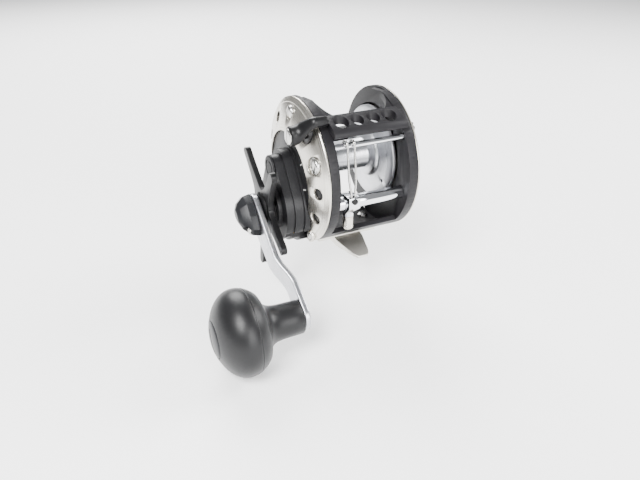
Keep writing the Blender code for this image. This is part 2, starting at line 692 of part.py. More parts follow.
def to_arm(bm):
    """Move a shape drawn with Y along the arm and Z across it onto the crank, following its bend."""
    dy, dz, _ = arm_direction()
    for vert in bm.verts:
        x, along, across = vert.co
        vert.co = (x + arm_offset(along), DRIVE_AXIS[0] + along * dy - across * dz,
                   DRIVE_AXIS[1] + along * dz + across * dy)
    return bm


def build_crank_arm(crank):
    """Make the crank arm: a tapered bar with round ends and an S-bend towards the reel."""
    span = arm_direction()[2]
    hub, tip = 8.4, 7.0
    upper = [(12.0, 7.7), (24.0, 6.7), (38.0, 6.4)]
    outline = arc((0.0, 0.0), hub, 90.0, 270.0, 12)
    outline += [(along, -half) for along, half in upper]
    outline += arc((span, 0.0), tip, -90.0, 90.0, 12)
    outline += [(along, half) for along, half in reversed(upper)]
    bm = prism(outline, *ARM_X)
    start, end = ARM_BEND
    cuts = 8
    for step in range(cuts + 1):
        along = start + (end - start) * step / cuts
        bmesh.ops.bisect_plane(bm, geom=bm.verts[:] + bm.edges[:] + bm.faces[:], dist=1e-4,
                               plane_co=(0.0, along, 0.0), plane_no=(0.0, 1.0, 0.0))
    item = make("crank_arm", to_arm(bm), "polished_aluminium", (-51.0, *DRIVE_AXIS), crank)
    cut(item,
        disc(-60.0, -40.0, DRIVE_SHAFT_RADIUS + GAP, DRIVE_AXIS, 18),
        disc(-60.0, -40.0, 2.7, KNOB_AXIS, 20))


def build_crank_end(crank):
    """Make the nut, its faceted cover, the cover's screw and the knob's axle."""
    def on_crank(name, bm, finish, sharp=35.0):
        return make(name, bm, finish, (-55.0, *DRIVE_AXIS), crank, sharp)

    nut = on_crank("crank_nut", prism(circle(DRIVE_AXIS, 5.0, 6), -55.8, ARM_X[0] - GAP), "stainless")
    cut(nut, disc(-60.0, -50.0, DRIVE_SHAFT_RADIUS + GAP, DRIVE_AXIS, 18))

    cover = on_crank("nut_cover", faceted_cover(0.0, 0.0), "cap_grey", 18.0)
    inner = faceted_cover(1.5, 1.6)
    bmesh.ops.translate(inner, verts=inner.verts, vec=(0.6, 0.0, 0.0))
    cut(cover, inner)
    screw_along = 11.2
    seat = -57.0
    cut(cover, to_arm(disc(-70.0, seat, 2.5, (screw_along, 0.0), 14)),
        to_arm(disc(-60.0, -50.0, 1.3, (screw_along, 0.0), 10)))
    profile = [(seat - 1.4, 0.0), (seat - 1.2, 1.3), (seat - 0.8, 2.1), (seat - GAP, 2.1), (seat - GAP, 1.0),
               (-53.1, 1.0), (-53.1, 0.0)]
    on_crank("nut_cover_screw", to_arm(turned(profile, (screw_along, 0.0), 16)), "stainless")

    back = ARM_X[1] + ARM_STEP
    profile = [(KNOB_BORE_END + 1.0, 0.0), (KNOB_BORE_END + 1.0, 2.3), (back + GAP, 2.3), (back + GAP, 4.2),
               (back + 1.2, 3.4), (back + 1.5, 0.0)]
    on_crank("knob_axle", turned(profile, KNOB_AXIS, 20), "stainless")


COVER_CENTRE = 3.4
COVER_LAYERS = ((0.0, 1.0), (-3.6, 0.93), (-7.2, 0.62), (-8.8, 0.30))


def faceted_cover(shrink, lower):
    """Stacked many-sided outlines that make the nut cover's facets; shrink makes its inside."""
    outline = ((-9.2, 0.0), (-6.6, 5.6), (0.0, 7.4), (7.0, 6.0), (13.6, 3.0), (15.4, 0.0), (13.6, -3.0),
               (7.0, -6.0), (0.0, -7.4), (-6.6, -5.6))
    bm = bmesh.new()
    rings = []
    for height, scale in COVER_LAYERS:
        depth = height * (1.0 - lower / 8.8) + (ARM_X[0] - GAP)
        ring = []
        for along, across in outline:
            wide = scale * (1.0 - shrink / 7.4)
            ring.append(bm.verts.new((depth, COVER_CENTRE * 0.4 + (along - COVER_CENTRE * 0.4) * wide, across * wide)))
        rings.append(ring)
    count = len(outline)
    for low, high in zip(rings, rings[1:]):
        for index in range(count):
            after = (index + 1) % count
            bm.faces.new((low[index], low[after], high[after], high[index]))
    bm.faces.new(rings[0])
    bm.faces.new(rings[-1])
    return to_arm(bm)


# ---------------------------------------------------------------------------
# Knob
# ---------------------------------------------------------------------------

KNOB_STEM_X = -48.4
KNOB_CENTRE_X = -78.0
KNOB_RADIUS = 21.0
KNOB_INNER = 15.4
KNOB_OUTER = 14.0
KNOB_BORE_END = -87.0
KNOB_CAP_RADIUS = 8.7


def knob_profile():
    """Outer side of the knob from its stem to the recess of its cap."""
    points = [(KNOB_STEM_X, 7.7), (KNOB_STEM_X - 0.5, 8.3), (-60.0, 8.5), (-64.0, 8.9), (-66.2, 9.9)]
    for degrees in (52, 62, 72, 81, 90):
        angle = math.radians(degrees)
        points.append((KNOB_CENTRE_X + KNOB_INNER * math.cos(angle), KNOB_RADIUS * math.sin(angle)))
    for degrees in (100, 111, 122, 134, 146):
        angle = math.radians(degrees)
        points.append((KNOB_CENTRE_X + KNOB_OUTER * math.cos(angle), KNOB_RADIUS * math.sin(angle)))
    return points


def build_knob(knob):
    """Make the knob, hollow for its axle, and the cap that closes its outer end."""
    place = (-70.0, *KNOB_AXIS)
    recess_x = -89.8
    profile = knob_profile()
    profile += [(recess_x - 0.9, KNOB_CAP_RADIUS + 0.3), (recess_x, KNOB_CAP_RADIUS + 0.3),
                (recess_x, 3.4), (KNOB_BORE_END + 0.4, 3.4), (KNOB_BORE_END + 0.4, 2.7), (KNOB_STEM_X, 2.7)]
    make("knob", turned(profile, KNOB_AXIS, 26), "soft_grip", place, knob)
    cap = [(-92.1, 0.0), (-91.9, 4.0), (-91.3, 7.6), (-90.9, KNOB_CAP_RADIUS), (recess_x - GAP, KNOB_CAP_RADIUS),
           (recess_x - GAP, 0.0)]
    make("knob_cap", turned(cap, KNOB_AXIS, 22), "cap_grey", place, knob)


# ---------------------------------------------------------------------------
# Clutch: lever, yoke and pinion
# ---------------------------------------------------------------------------

LEVER_BAR = (-25.2, 77.8)
LEVER_BAR_X = (-30.0, -20.6)
YOKE_POST_Y = (-7.0, 7.0)
YOKE_X = (-27.7, -26.8)
DOG_AXIS = (-14.6, 27.0)


def leaning_bar(stations, start, end, sides=14):
    """Round bar along X through (x, radius, share) stations; share says how far it has leant to the end axis."""
    bm = bmesh.new()
    rings = []
    for x, radius, share in stations:
        axis = (start[0] + (end[0] - start[0]) * share, start[1] + (end[1] - start[1]) * share)
        rings.append([bm.verts.new((x, y, z)) for y, z in circle(axis, radius, sides)])
    for one, two in zip(rings, rings[1:]):
        for index in range(sides):
            after = (index + 1) % sides
            bm.faces.new((one[index], one[after], two[after], two[index]))
    bm.faces.new(rings[0])
    bm.faces.new(rings[-1])
    return bm


def build_lever(lever):
    """Make the free-spool lever with its screw, and the cam on its inner end."""
    def on_lever(name, bm, finish):
        return make(name, bm, finish, (-33.0, *LEVER_AXIS), lever)

    stations = ((-37.2, 4.3, 0.0), (-36.6, 4.9, 0.0), (-33.5, 4.7, 0.1), (-31.6, 4.1, 0.42), (-30.0, 3.3, 0.72),
                (-28.6, 2.9, 0.92), (-26.5, 2.6, 1.0), (LEVER_BAR_X[1] - 0.6, 2.3, 1.0), (LEVER_BAR_X[1], 1.7, 1.0))
    body = on_lever("clutch_lever", leaning_bar(stations, LEVER_AXIS, LEVER_BAR), "black_plastic")
    join(body, disc(-33.0, -27.0, 2.1, LEVER_AXIS, 16))
    cut(body, disc(-40.0, -33.0, 1.5, LEVER_AXIS, 12))
    screw = [(-38.4, 0.0), (-38.3, 2.6), (-37.9, 3.9), (-37.2 - GAP, 3.9), (-37.2 - GAP, 1.2), (-33.4, 1.2),
             (-33.4, 0.0)]
    head = on_lever("lever_screw", turned(screw, LEVER_AXIS, 16), "stainless")
    cut(head, block(-40.0, -37.9, LEVER_AXIS[0] - 0.5, LEVER_AXIS[0] + 0.5, 60.0, 80.0))

    cam = arc(LEVER_AXIS, 3.2, 20.0, 250.0, 10) + [(LEVER_AXIS[0] + 1.0, LEVER_AXIS[1] - 6.2),
                                                   (LEVER_AXIS[0] + 3.0, LEVER_AXIS[1] - 5.6)]
    on_lever("clutch_cam", prism(cam, -26.7, -25.9), "stainless")


def build_yoke(yoke):
    """Make the yoke that slides the pinion along the spool shaft."""
    low, high = SPOOL_AXIS[1] - 3.2, SPOOL_AXIS[1] + 3.2
    outline = [(-9.3, low), (9.3, low), (9.3, high), (-9.3, high)]
    plate = make("yoke", prism(outline, *YOKE_X), "stainless", (-27.2, *SPOOL_AXIS), yoke)
    cut(plate, disc(-40.0, -20.0, 3.15, SPOOL_AXIS, 20),
        block(-40.0, -20.0, -3.15, 3.15, SPOOL_AXIS[1], SPOOL_AXIS[1] + 8.0),
        *[disc(-40.0, -20.0, 1.35, (y, SPOOL_AXIS[1]), 12) for y in YOKE_POST_Y])


def build_pinion(pinion):
    """Make the pinion: teeth at its outer end, and a groove for the yoke."""
    phase = meshing_phase(DRIVE_AXIS, GEAR_TEETH, heading(DRIVE_AXIS, SPOOL_AXIS), SPOOL_AXIS, PINION_TEETH)
    gear = make("pinion", prism(gear_outline(PINION_TEETH, SPOOL_AXIS, phase), -35.2, -28.6), "gear_brass",
                (-31.0, *SPOOL_AXIS), pinion)
    collar = [(-29.3, 1.0), (-29.3, 4.2), (-28.0, 4.2), (-28.0, 2.8), (-26.5, 2.8), (-26.5, 4.2), (-26.1, 4.2),
              (-26.1, 1.0)]
    join(gear, turned(collar, SPOOL_AXIS, 18))
    cut(gear, disc(-40.0, -20.0, SHAFT_RADIUS + GAP, SPOOL_AXIS, 16))


def build_dog(dog):
    """Make the anti-reverse dog that rides on the ratchet."""
    outline = arc(DOG_AXIS, 2.6, 20.0, 320.0, 12)
    outline += [(DOG_AXIS[0] + 3.0, DOG_AXIS[1] - 1.4), (DOG_AXIS[0] + 3.0, DOG_AXIS[1] - 0.2)]
    item = make("anti_reverse_dog", prism(outline, -28.5, -27.1), "stainless", (-27.8, *DOG_AXIS), dog)
    cut(item, disc(-30.0, -20.0, 1.5, DOG_AXIS, 14))


# ---------------------------------------------------------------------------
# Spool
# ---------------------------------------------------------------------------

def build_spool(spool):
    """Make the spool with its hub cones, its shaft and the click gear."""
    half = 18.7
    inner_side = [(17.1, FLANGE_RADIUS), (16.6, 23.6), (15.6, 14.0), (13.4, 11.6), (12.2, ARBOR_RADIUS)]
    outer_side = [(half, FLANGE_RADIUS), (half, 23.2), (17.4, 22.4), (17.0, 7.0), (17.8, 5.2), (17.8, SHAFT_RADIUS + GAP)]
    profile = [(-x, r) for x, r in reversed(outer_side)] + [(-x, r) for x, r in inner_side]
    profile += list(reversed(inner_side)) + outer_side
    place = (0.0, *SPOOL_AXIS)
    body = make("spool", turned(profile, SPOOL_AXIS, 32), "spool_aluminium", place, spool)
    for angle in (-35.0, 85.0, 205.0):
        cut(body, disc(10.0, 20.0, 1.1, around(SPOOL_AXIS, 19.5, angle), 10))
    make("spool_shaft", disc(-39.0, 27.4, SHAFT_RADIUS, SPOOL_AXIS, 16), "stainless", place, spool)
    teeth = 18
    outline = []
    for tooth in range(teeth):
        for turn, reach in ((0.0, 6.2), (0.5, 4.9)):
            angle = math.tau * (tooth + turn) / teeth
            outline.append((SPOOL_AXIS[0] + reach * math.cos(angle), SPOOL_AXIS[1] + reach * math.sin(angle)))
    click = make("click_gear", prism(outline, 22.0, 23.6), "black_plastic", place, spool)
    cut(click, disc(10.0, 30.0, SHAFT_RADIUS + GAP, SPOOL_AXIS, 16))


def build_spool_supports():
    """Make the two bearings and the caps that close over them."""
    make("handle_side_bearing", washer(-38.6, -37.6, SHAFT_RADIUS + GAP, 4.8, SPOOL_AXIS, 18), "stainless")
    make("far_side_bearing", washer(24.6, 27.0, SHAFT_RADIUS + GAP, 4.8, SPOOL_AXIS, 18), "stainless")
    near = [(-41.3, 0.0), (-41.3, 6.3), (-40.9, 6.8), (-40.5, 6.8), (-40.5, 4.9), (-39.3, 4.9), (-39.3, 0.0)]
    make("spool_end_cap", turned(near, SPOOL_AXIS, 22), "black_cover")
    far = [(27.7, 0.0), (27.7, 4.9), (30.3, 4.9), (30.3, 7.1), (33.2, 7.1), (33.9, 6.3), (33.9, 0.0)]
    make("far_end_cap", turned(far, SPOOL_AXIS, 22), "black_cover")


# ---------------------------------------------------------------------------
# Level wind
# ---------------------------------------------------------------------------

WORM_RADIUS = 2.3
WORM_LEAD = 8.5
WORM_THREAD_X = 16.5
TUBE_OUTER = 3.4
TUBE_INNER = 2.75


def crossed_thread_radius(x, angle):
    """Radius of the worm at a place on it: two opposite helical grooves in a plain shaft."""
    if abs(x) > WORM_THREAD_X:
        return WORM_RADIUS
    turn = angle / math.tau
    near = 1.0
    for hand in (1.0, -1.0):
        away = (x / WORM_LEAD - hand * turn) % 1.0
        near = min(near, min(away, 1.0 - away) * WORM_LEAD)
    return WORM_RADIUS - 0.65 * max(0.0, 1.0 - (near / 1.15) ** 2)


def build_worm(worm):
    """Make the crossed-thread worm and the gear on its handle end."""
    place = (0.0, *WORM_AXIS)
    steps, sides = 34, 10
    stations = [-WORM_THREAD_X - 1.0 + (2 * WORM_THREAD_X + 2.0) * step / steps for step in range(steps + 1)]
    bm = bmesh.new()
    rings = [[bm.verts.new((x, SHAFT_RADIUS * math.cos(a), SHAFT_RADIUS * math.sin(a)))
              for a in ring_angles(sides)] for x in (-23.9, -WORM_THREAD_X - 1.0)]
    for x in stations:
        rings.append([bm.verts.new((x, crossed_thread_radius(x, a) * math.cos(a),
                                    crossed_thread_radius(x, a) * math.sin(a))) for a in ring_angles(sides)])
    rings += [[bm.verts.new((x, SHAFT_RADIUS * math.cos(a), SHAFT_RADIUS * math.sin(a)))
               for a in ring_angles(sides)] for x in (WORM_THREAD_X + 1.0, 21.2)]
    for one, two in zip(rings, rings[1:]):
        for index in range(sides):
            after = (index + 1) % sides
            bm.faces.new((one[index], one[after], two[after], two[index]))
    bm.faces.new(rings[0])
    bm.faces.new(rings[-1])
    bmesh.ops.translate(bm, verts=bm.verts, vec=(0.0, *WORM_AXIS))
    make("worm_shaft", bm, "stainless", place, worm)

    phase = meshing_phase(IDLER_AXIS, IDLER_TEETH, idler_phase(), WORM_AXIS, WORM_TEETH)
    gear = make("worm_gear", prism(gear_outline(WORM_TEETH, WORM_AXIS, phase), *TRAIN_X), "gear_brass", place, worm)
    cut(gear, disc(-30.0, -20.0, SHAFT_RADIUS + GAP, WORM_AXIS, 18))


def ring_angles(sides):
    """Angles of the corners of a many-sided section."""
    return [math.tau * index / sides for index in range(sides)]


def idler_phase():
    """Phase of the idler, in mesh with the gear on the drive shaft."""
    return meshing_phase(DRIVE_AXIS, LEVEL_DRIVE_TEETH, 0.0, IDLER_AXIS, IDLER_TEETH)


def build_idler(idler):
    """Make the idler between the drive shaft and the worm."""
    gear = make("idler_gear", prism(gear_outline(IDLER_TEETH, IDLER_AXIS, idler_phase()), *TRAIN_X), "gear_brass",
                (-22.6, *IDLER_AXIS), idler)
    cut(gear, disc(-30.0, -20.0, 1.8, IDLER_AXIS, 16))


def build_level_wind_guides():
    """Make the guide bar and the slotted tube round the worm."""
    make("guide_bar", disc(-20.9, 20.9, 1.5, GUIDE_BAR_AXIS, 20), "chrome")
    tube = make("worm_tube", washer(-18.9, 18.9, TUBE_INNER, TUBE_OUTER, WORM_AXIS, 20), "chrome")
    cut(tube, block(-16.6, 16.6, WORM_AXIS[0] - 1.2, WORM_AXIS[0] + 1.2, WORM_AXIS[1] - 6.0, WORM_AXIS[1]))


EYE = (-35.2, 39.0)                         # (y, z) of the eye at the foot of the line guide
EYE_RADIUS = 1.5
WIRE_RADIUS = 0.55
WIRE_SPREAD = 1.9


def line_guide_path():
    """Route of the line guide's wire: over the bar, down, round the eye, up, and over the bar again."""
    hook = 1.5 + GAP + WIRE_RADIUS
    half = [(CARRIAGE_X - WIRE_SPREAD, *point) for point in arc(GUIDE_BAR_AXIS, hook, -15.0, 170.0, 9)]
    half += [(CARRIAGE_X - WIRE_SPREAD, -32.0, 61.0), (CARRIAGE_X - WIRE_SPREAD, -32.9, 55.5),
             (CARRIAGE_X - 1.8, -33.9, 49.0), (CARRIAGE_X - 1.1, -34.7, 43.6), (CARRIAGE_X - 0.95, -35.1, 41.2)]
    for degrees in (150.0, 180.0, 210.0, 240.0):
        angle = math.radians(degrees)
        half.append((CARRIAGE_X + EYE_RADIUS * math.cos(angle), EYE[0], EYE[1] + EYE_RADIUS * math.sin(angle)))
    other = [(2 * CARRIAGE_X - x, y, z) for x, y, z in reversed(half)]
    return half + [(CARRIAGE_X, EYE[0], EYE[1] - EYE_RADIUS)] + other


def build_line_guide(carriage, place):
    """Make the line guide as one bent wire."""
    curve = bpy.data.curves.new("line_guide", "CURVE")
    curve.dimensions = "3D"
    curve.bevel_depth = WIRE_RADIUS * MM
    curve.bevel_resolution = 1
    curve.use_fill_caps = True
    spline = curve.splines.new("POLY")
    path = line_guide_path()
    spline.points.add(len(path) - 1)
    for point, where in zip(spline.points, path):
        point.co = (*((Vector(where) - Vector(place)) * MM), 1.0)
    item = bpy.data.objects.new("line_guide", curve)
    bpy.context.collection.objects.link(item)
    item.location = Vector(place) * MM
    bpy.context.view_layer.update()
    attach(item, carriage)
    curve.materials.append(material("stainless"))


PAWL_X = CARRIAGE_X
PAWL_TOP = WORM_AXIS[1] - WORM_RADIUS - 0.35


def build_carriage(carriage, pawl_joint):
    """Make the level wind carriage with its line guide, screw, pawl and pawl cap."""
    place = (CARRIAGE_X, *WORM_AXIS)
    wy, wz = WORM_AXIS
    outline = [(-36.9, 35.2), (-36.9, 40.2), (-36.2, 41.0), (-33.6, 41.0), (-26.6, 40.2), (-25.4, 38.6), (-25.4, 33.2),
               (-27.2, 31.0), (-33.0, 31.0)]
    x0, x1 = CARRIAGE_X - CARRIAGE_HALF, CARRIAGE_X + CARRIAGE_HALF
    body = make("carriage", prism(outline, x0, x1), "chrome", place, carriage)
    join(body, upright(28.9, 33.4, 2.9, PAWL_X, wy, 20))
    cut(body,
        disc(x0 - 2.0, x1 + 2.0, TUBE_OUTER + GAP, WORM_AXIS, 28),
        upright(20.0, wz, 1.9, PAWL_X, wy, 18),
        block(x0 + 0.6, x1 - 0.6, EYE[0] - 0.85, EYE[0] + 0.85, EYE[1] - 2.4, 45.0),
        along_y(-40.0, EYE[0], 0.85, CARRIAGE_X, EYE[1], 12))
    build_line_guide(carriage, place)
    screw = [(-38.0, 0.0), (-37.9, 1.0), (-37.6, 1.5), (-36.9 - GAP, 1.5), (-36.9 - GAP, 0.5), (EYE[0] + 0.7, 0.5),
             (EYE[0] + 0.7, 0.0)]
    make("carriage_screw", lying(screw, CARRIAGE_X, EYE[1], 14), "black_plastic", place, carriage)
    cap = [(20.9, 0.0), (21.0, 1.4), (21.6, 2.4), (22.3, 2.7), (28.6, 2.7), (28.6, 0.0)]
    make("pawl_cap", standing(cap, PAWL_X, wy, 24), "satin_silver", place, carriage)

    pin = [(28.9, 0.0), (28.9, 1.5), (31.6, 1.5), (31.6, 0.0)]
    pawl = make("pawl", standing(pin, PAWL_X, wy, 16), "stainless", (PAWL_X, wy, 30.0), pawl_joint)
    join(pawl, block(PAWL_X - 0.35, PAWL_X + 0.35, wy - 0.85, wy + 0.85, 31.0, PAWL_TOP))


def standing(profile, x, y, segments):
    """Turn a profile of (z, radius) points about an upright line."""
    bm = turned(profile, (0.0, 0.0), segments)
    bm.transform(Matrix.Translation((x, y, 0.0)) @ Matrix.Rotation(-math.pi / 2, 4, "Y"))
    return bm


def lying(profile, x, z, segments):
    """Turn a profile of (y, radius) points about a line along Y."""
    bm = turned(profile, (0.0, 0.0), segments)
    bm.transform(Matrix.Translation((x, 0.0, z)) @ Matrix.Rotation(math.pi / 2, 4, "Z"))
    return bm


def along_y(y0, y1, radius, x, z, segments):
    """Make a cylinder along Y."""
    return lying([(y0, 0.0), (y0, radius), (y1, radius), (y1, 0.0)], x, z, segments)


# ---------------------------------------------------------------------------
# Clicker on the far side
# ---------------------------------------------------------------------------

CLICKER = (0.0, 33.0)                       # (y, z) of the button with the clicker off
CLICKER_TRAVEL = 2.6
CLICKER_SLOT_Y = (-2.4, 2.4)
CLICKER_SLOT_Z = (CLICKER[1] - 3.4, CLICKER[1] + 3.4 + CLICKER_TRAVEL)


def build_clicker(clicker):
    """Make the clicker's button and the tongue it carries towards the click gear."""
    place = (30.0, *CLICKER)
    y, z = CLICKER
    button = make("clicker_button", block(30.3, 31.4, y - 4.2, y + 4.2, z - 5.0, z + 5.0), "black_plastic",
                  place, clicker)
    join(button, block(31.0, 33.6, y - 2.6, y + 2.6, z - 3.4, z + 3.4),
         block(27.9, 31.0, y - 2.0, y + 2.0, z - 3.0, z + 3.0))
    tongue = [(y - 2.4, z - 3.0), (y + 2.4, z - 3.0), (y + 1.6, z + 3.0), (y + 0.4, 38.9), (y - 0.4, 38.9),
              (y - 1.6, z + 3.0)]
    item = make("click_tongue", prism(tongue, 22.2, 27.6), "stainless", place, clicker)
    cut(item, block(23.9, 30.0, y - 4.0, y + 4.0, z + 2.6, z + 9.0))


# ---------------------------------------------------------------------------
# Assembly
# ---------------------------------------------------------------------------

def build():
    """Build the whole reel."""
    clear_scene()
    build_frame()
    build_foot()
    build_trim_rings()
    build_handle_side_cover()
    build_far_side_cover()
    build_bridge_plate()
    for number, (angle, distance, radius) in enumerate(RING_SCREWS, start=1):
        ring_screw(f"handle_ring_screw_{number}", -1, around(PLATE_AXIS, distance, angle), distance, radius)
    for number, (angle, distance, radius) in enumerate(FAR_SCREWS, start=1):
        ring_screw(f"far_ring_screw_{number}", 1, around(PLATE_AXIS, distance, angle), distance, radius)
    build_spool_supports()
    build_level_wind_guides()

    crank = empty("crank_joint", (-40.0, *DRIVE_AXIS))
    build_drive_train(crank)
    build_crank_arm(crank)
    build_crank_end(crank)
    knob = empty("knob_joint", (-70.0, *KNOB_AXIS), crank)
    build_knob(knob)
    star = empty("star_joint", (-45.0, *DRIVE_AXIS), crank)
    build_star(star)
    spacer = empty("spacer_joint", (-40.0, *DRIVE_AXIS), crank)
    make("drag_spacer", washer(*SPACER_X, DRIVE_SHAFT_RADIUS + GAP, 6.0, DRIVE_AXIS, 18), "stainless",
         (-40.0, *DRIVE_AXIS), spacer)

    build_lever(empty("lever_joint", (-33.0, *LEVER_AXIS)))
    yoke = empty("yoke_joint", (-27.2, *SPOOL_AXIS))
    build_yoke(yoke)
    build_pinion(empty("pinion_joint", (-31.0, *SPOOL_AXIS), yoke))
    build_dog(empty("dog_joint", (-27.8, *DOG_AXIS)))
    build_spool(empty("spool_joint", (0.0, *SPOOL_AXIS)))
    build_worm(empty("worm_joint", (0.0, *WORM_AXIS)))
    build_idler(empty("idler_joint", (-22.6, *IDLER_AXIS)))
    carriage = empty("carriage_joint", (CARRIAGE_X, *WORM_AXIS))
    build_carriage(carriage, empty("pawl_joint", (PAWL_X, WORM_AXIS[0], 30.0), carriage))
    build_clicker(empty("clicker_joint", (30.0, *CLICKER)))
    weld_combined()


build()
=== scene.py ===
"""Trolling reel with a level wind: the finished model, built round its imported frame.

Sizes inside the classes are millimetres in the frame's own axes: X along the spool, handle at -X,
-Y towards the front, +Z up. Every mesh is scaled to metres when its piece is made.
"""

import logging
import math
from collections.abc import Iterable, Sequence
from dataclasses import dataclass
from enum import Enum

import bmesh
import bpy
from mathutils import Matrix, Vector


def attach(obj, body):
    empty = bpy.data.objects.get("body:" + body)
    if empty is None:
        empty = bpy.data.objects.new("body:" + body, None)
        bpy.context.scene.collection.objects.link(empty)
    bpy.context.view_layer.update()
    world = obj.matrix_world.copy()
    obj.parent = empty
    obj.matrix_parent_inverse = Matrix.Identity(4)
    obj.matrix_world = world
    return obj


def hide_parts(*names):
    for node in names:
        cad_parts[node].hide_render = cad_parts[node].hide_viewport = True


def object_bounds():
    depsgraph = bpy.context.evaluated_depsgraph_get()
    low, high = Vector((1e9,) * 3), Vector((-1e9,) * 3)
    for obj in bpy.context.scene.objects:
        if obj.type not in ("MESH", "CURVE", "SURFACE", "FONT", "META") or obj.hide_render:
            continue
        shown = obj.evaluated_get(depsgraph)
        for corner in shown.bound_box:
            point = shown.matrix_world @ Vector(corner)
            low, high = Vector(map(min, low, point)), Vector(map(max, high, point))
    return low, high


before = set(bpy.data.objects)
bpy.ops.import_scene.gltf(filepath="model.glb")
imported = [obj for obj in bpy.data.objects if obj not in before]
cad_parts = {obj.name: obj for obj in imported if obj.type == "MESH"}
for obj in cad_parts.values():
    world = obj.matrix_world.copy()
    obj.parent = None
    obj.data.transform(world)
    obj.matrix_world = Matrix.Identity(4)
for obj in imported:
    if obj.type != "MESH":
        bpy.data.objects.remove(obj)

CAD_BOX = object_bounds()
LOG = logging.getLogger("reel")
MM = 0.001
FINE = 128                                  # segments of a large round piece
ROOM = 0.3                                  # room round a screw head or a housing, in mm
CUT_NEAR = (-36.0, -20.0)                   # x of a cutter right through the near ring
CUT_FAR = (20.0, 34.0)                      # and through the far ring

Point = tuple[float, float]
Triple = tuple[float, float, float]
Profile = Sequence[Point]

SPOOL_AXIS: Point = (0.0, 48.0)             # (y, z) of the lines along X that pieces turn about
PLATE_AXIS: Point = (0.0, 44.35)
DRIVE_AXIS: Point = (-2.4, 27.7417)
KNOB_AXIS: Point = (-53.3, -7.2)
LEVER_AXIS: Point = (-18.0, 70.1)
LEVER_BAR: Point = (-25.2, 77.8)
GUIDE_BAR_AXIS: Point = (-29.0, 65.4)
WORM_AXIS: Point = (-30.0, 35.8)
OPENING_AXIS: Point = (0.0, 41.2)


# ---------------------------------------------------------------------------
# Finishes
# ---------------------------------------------------------------------------

def linear(hex_colour: str) -> tuple[float, float, float, float]:
    """Turn an sRGB hex colour into linear RGBA.

    Args:
        hex_colour: six hex digits.

    Returns:
        Red, green, blue and an alpha of 1.
    """
    parts = [int(hex_colour[start:start + 2], 16) / 255 for start in (0, 2, 4)]
    values = [part / 12.92 if part <= 0.04045 else ((part + 0.055) / 1.055) ** 2.4 for part in parts]
    return (values[0], values[1], values[2], 1.0)


def node(tree: bpy.types.NodeTree, kind: str, settings: dict | None = None,
         inputs: dict | None = None) -> bpy.types.Node:
    """Add a node with its settings, and set or link its inputs.

    Args:
        tree: the tree the node goes into.
        kind: the node's type.
        settings: attributes of the node.
        inputs: values or output sockets, by input name or number.

    Returns:
        The new node.
    """
    made = tree.nodes.new(kind)
    for name, value in (settings or {}).items():
        setattr(made, name, value)
    for name, value in (inputs or {}).items():
        if isinstance(value, bpy.types.NodeSocket):
            tree.links.new(value, made.inputs[name])
        else:
            made.inputs[name].default_value = value
    return made


class Surface(Enum):
    """How a surface was made, which decides the pattern it carries."""

    MOULDED = "moulded"                     # fine random grain from a sparked mould
    TURNED = "turned"                       # concentric tool lines about an axis along X
    BRUSHED = "brushed"                     # straight hairlines
    POLISHED = "polished"                   # almost none: faint waviness only


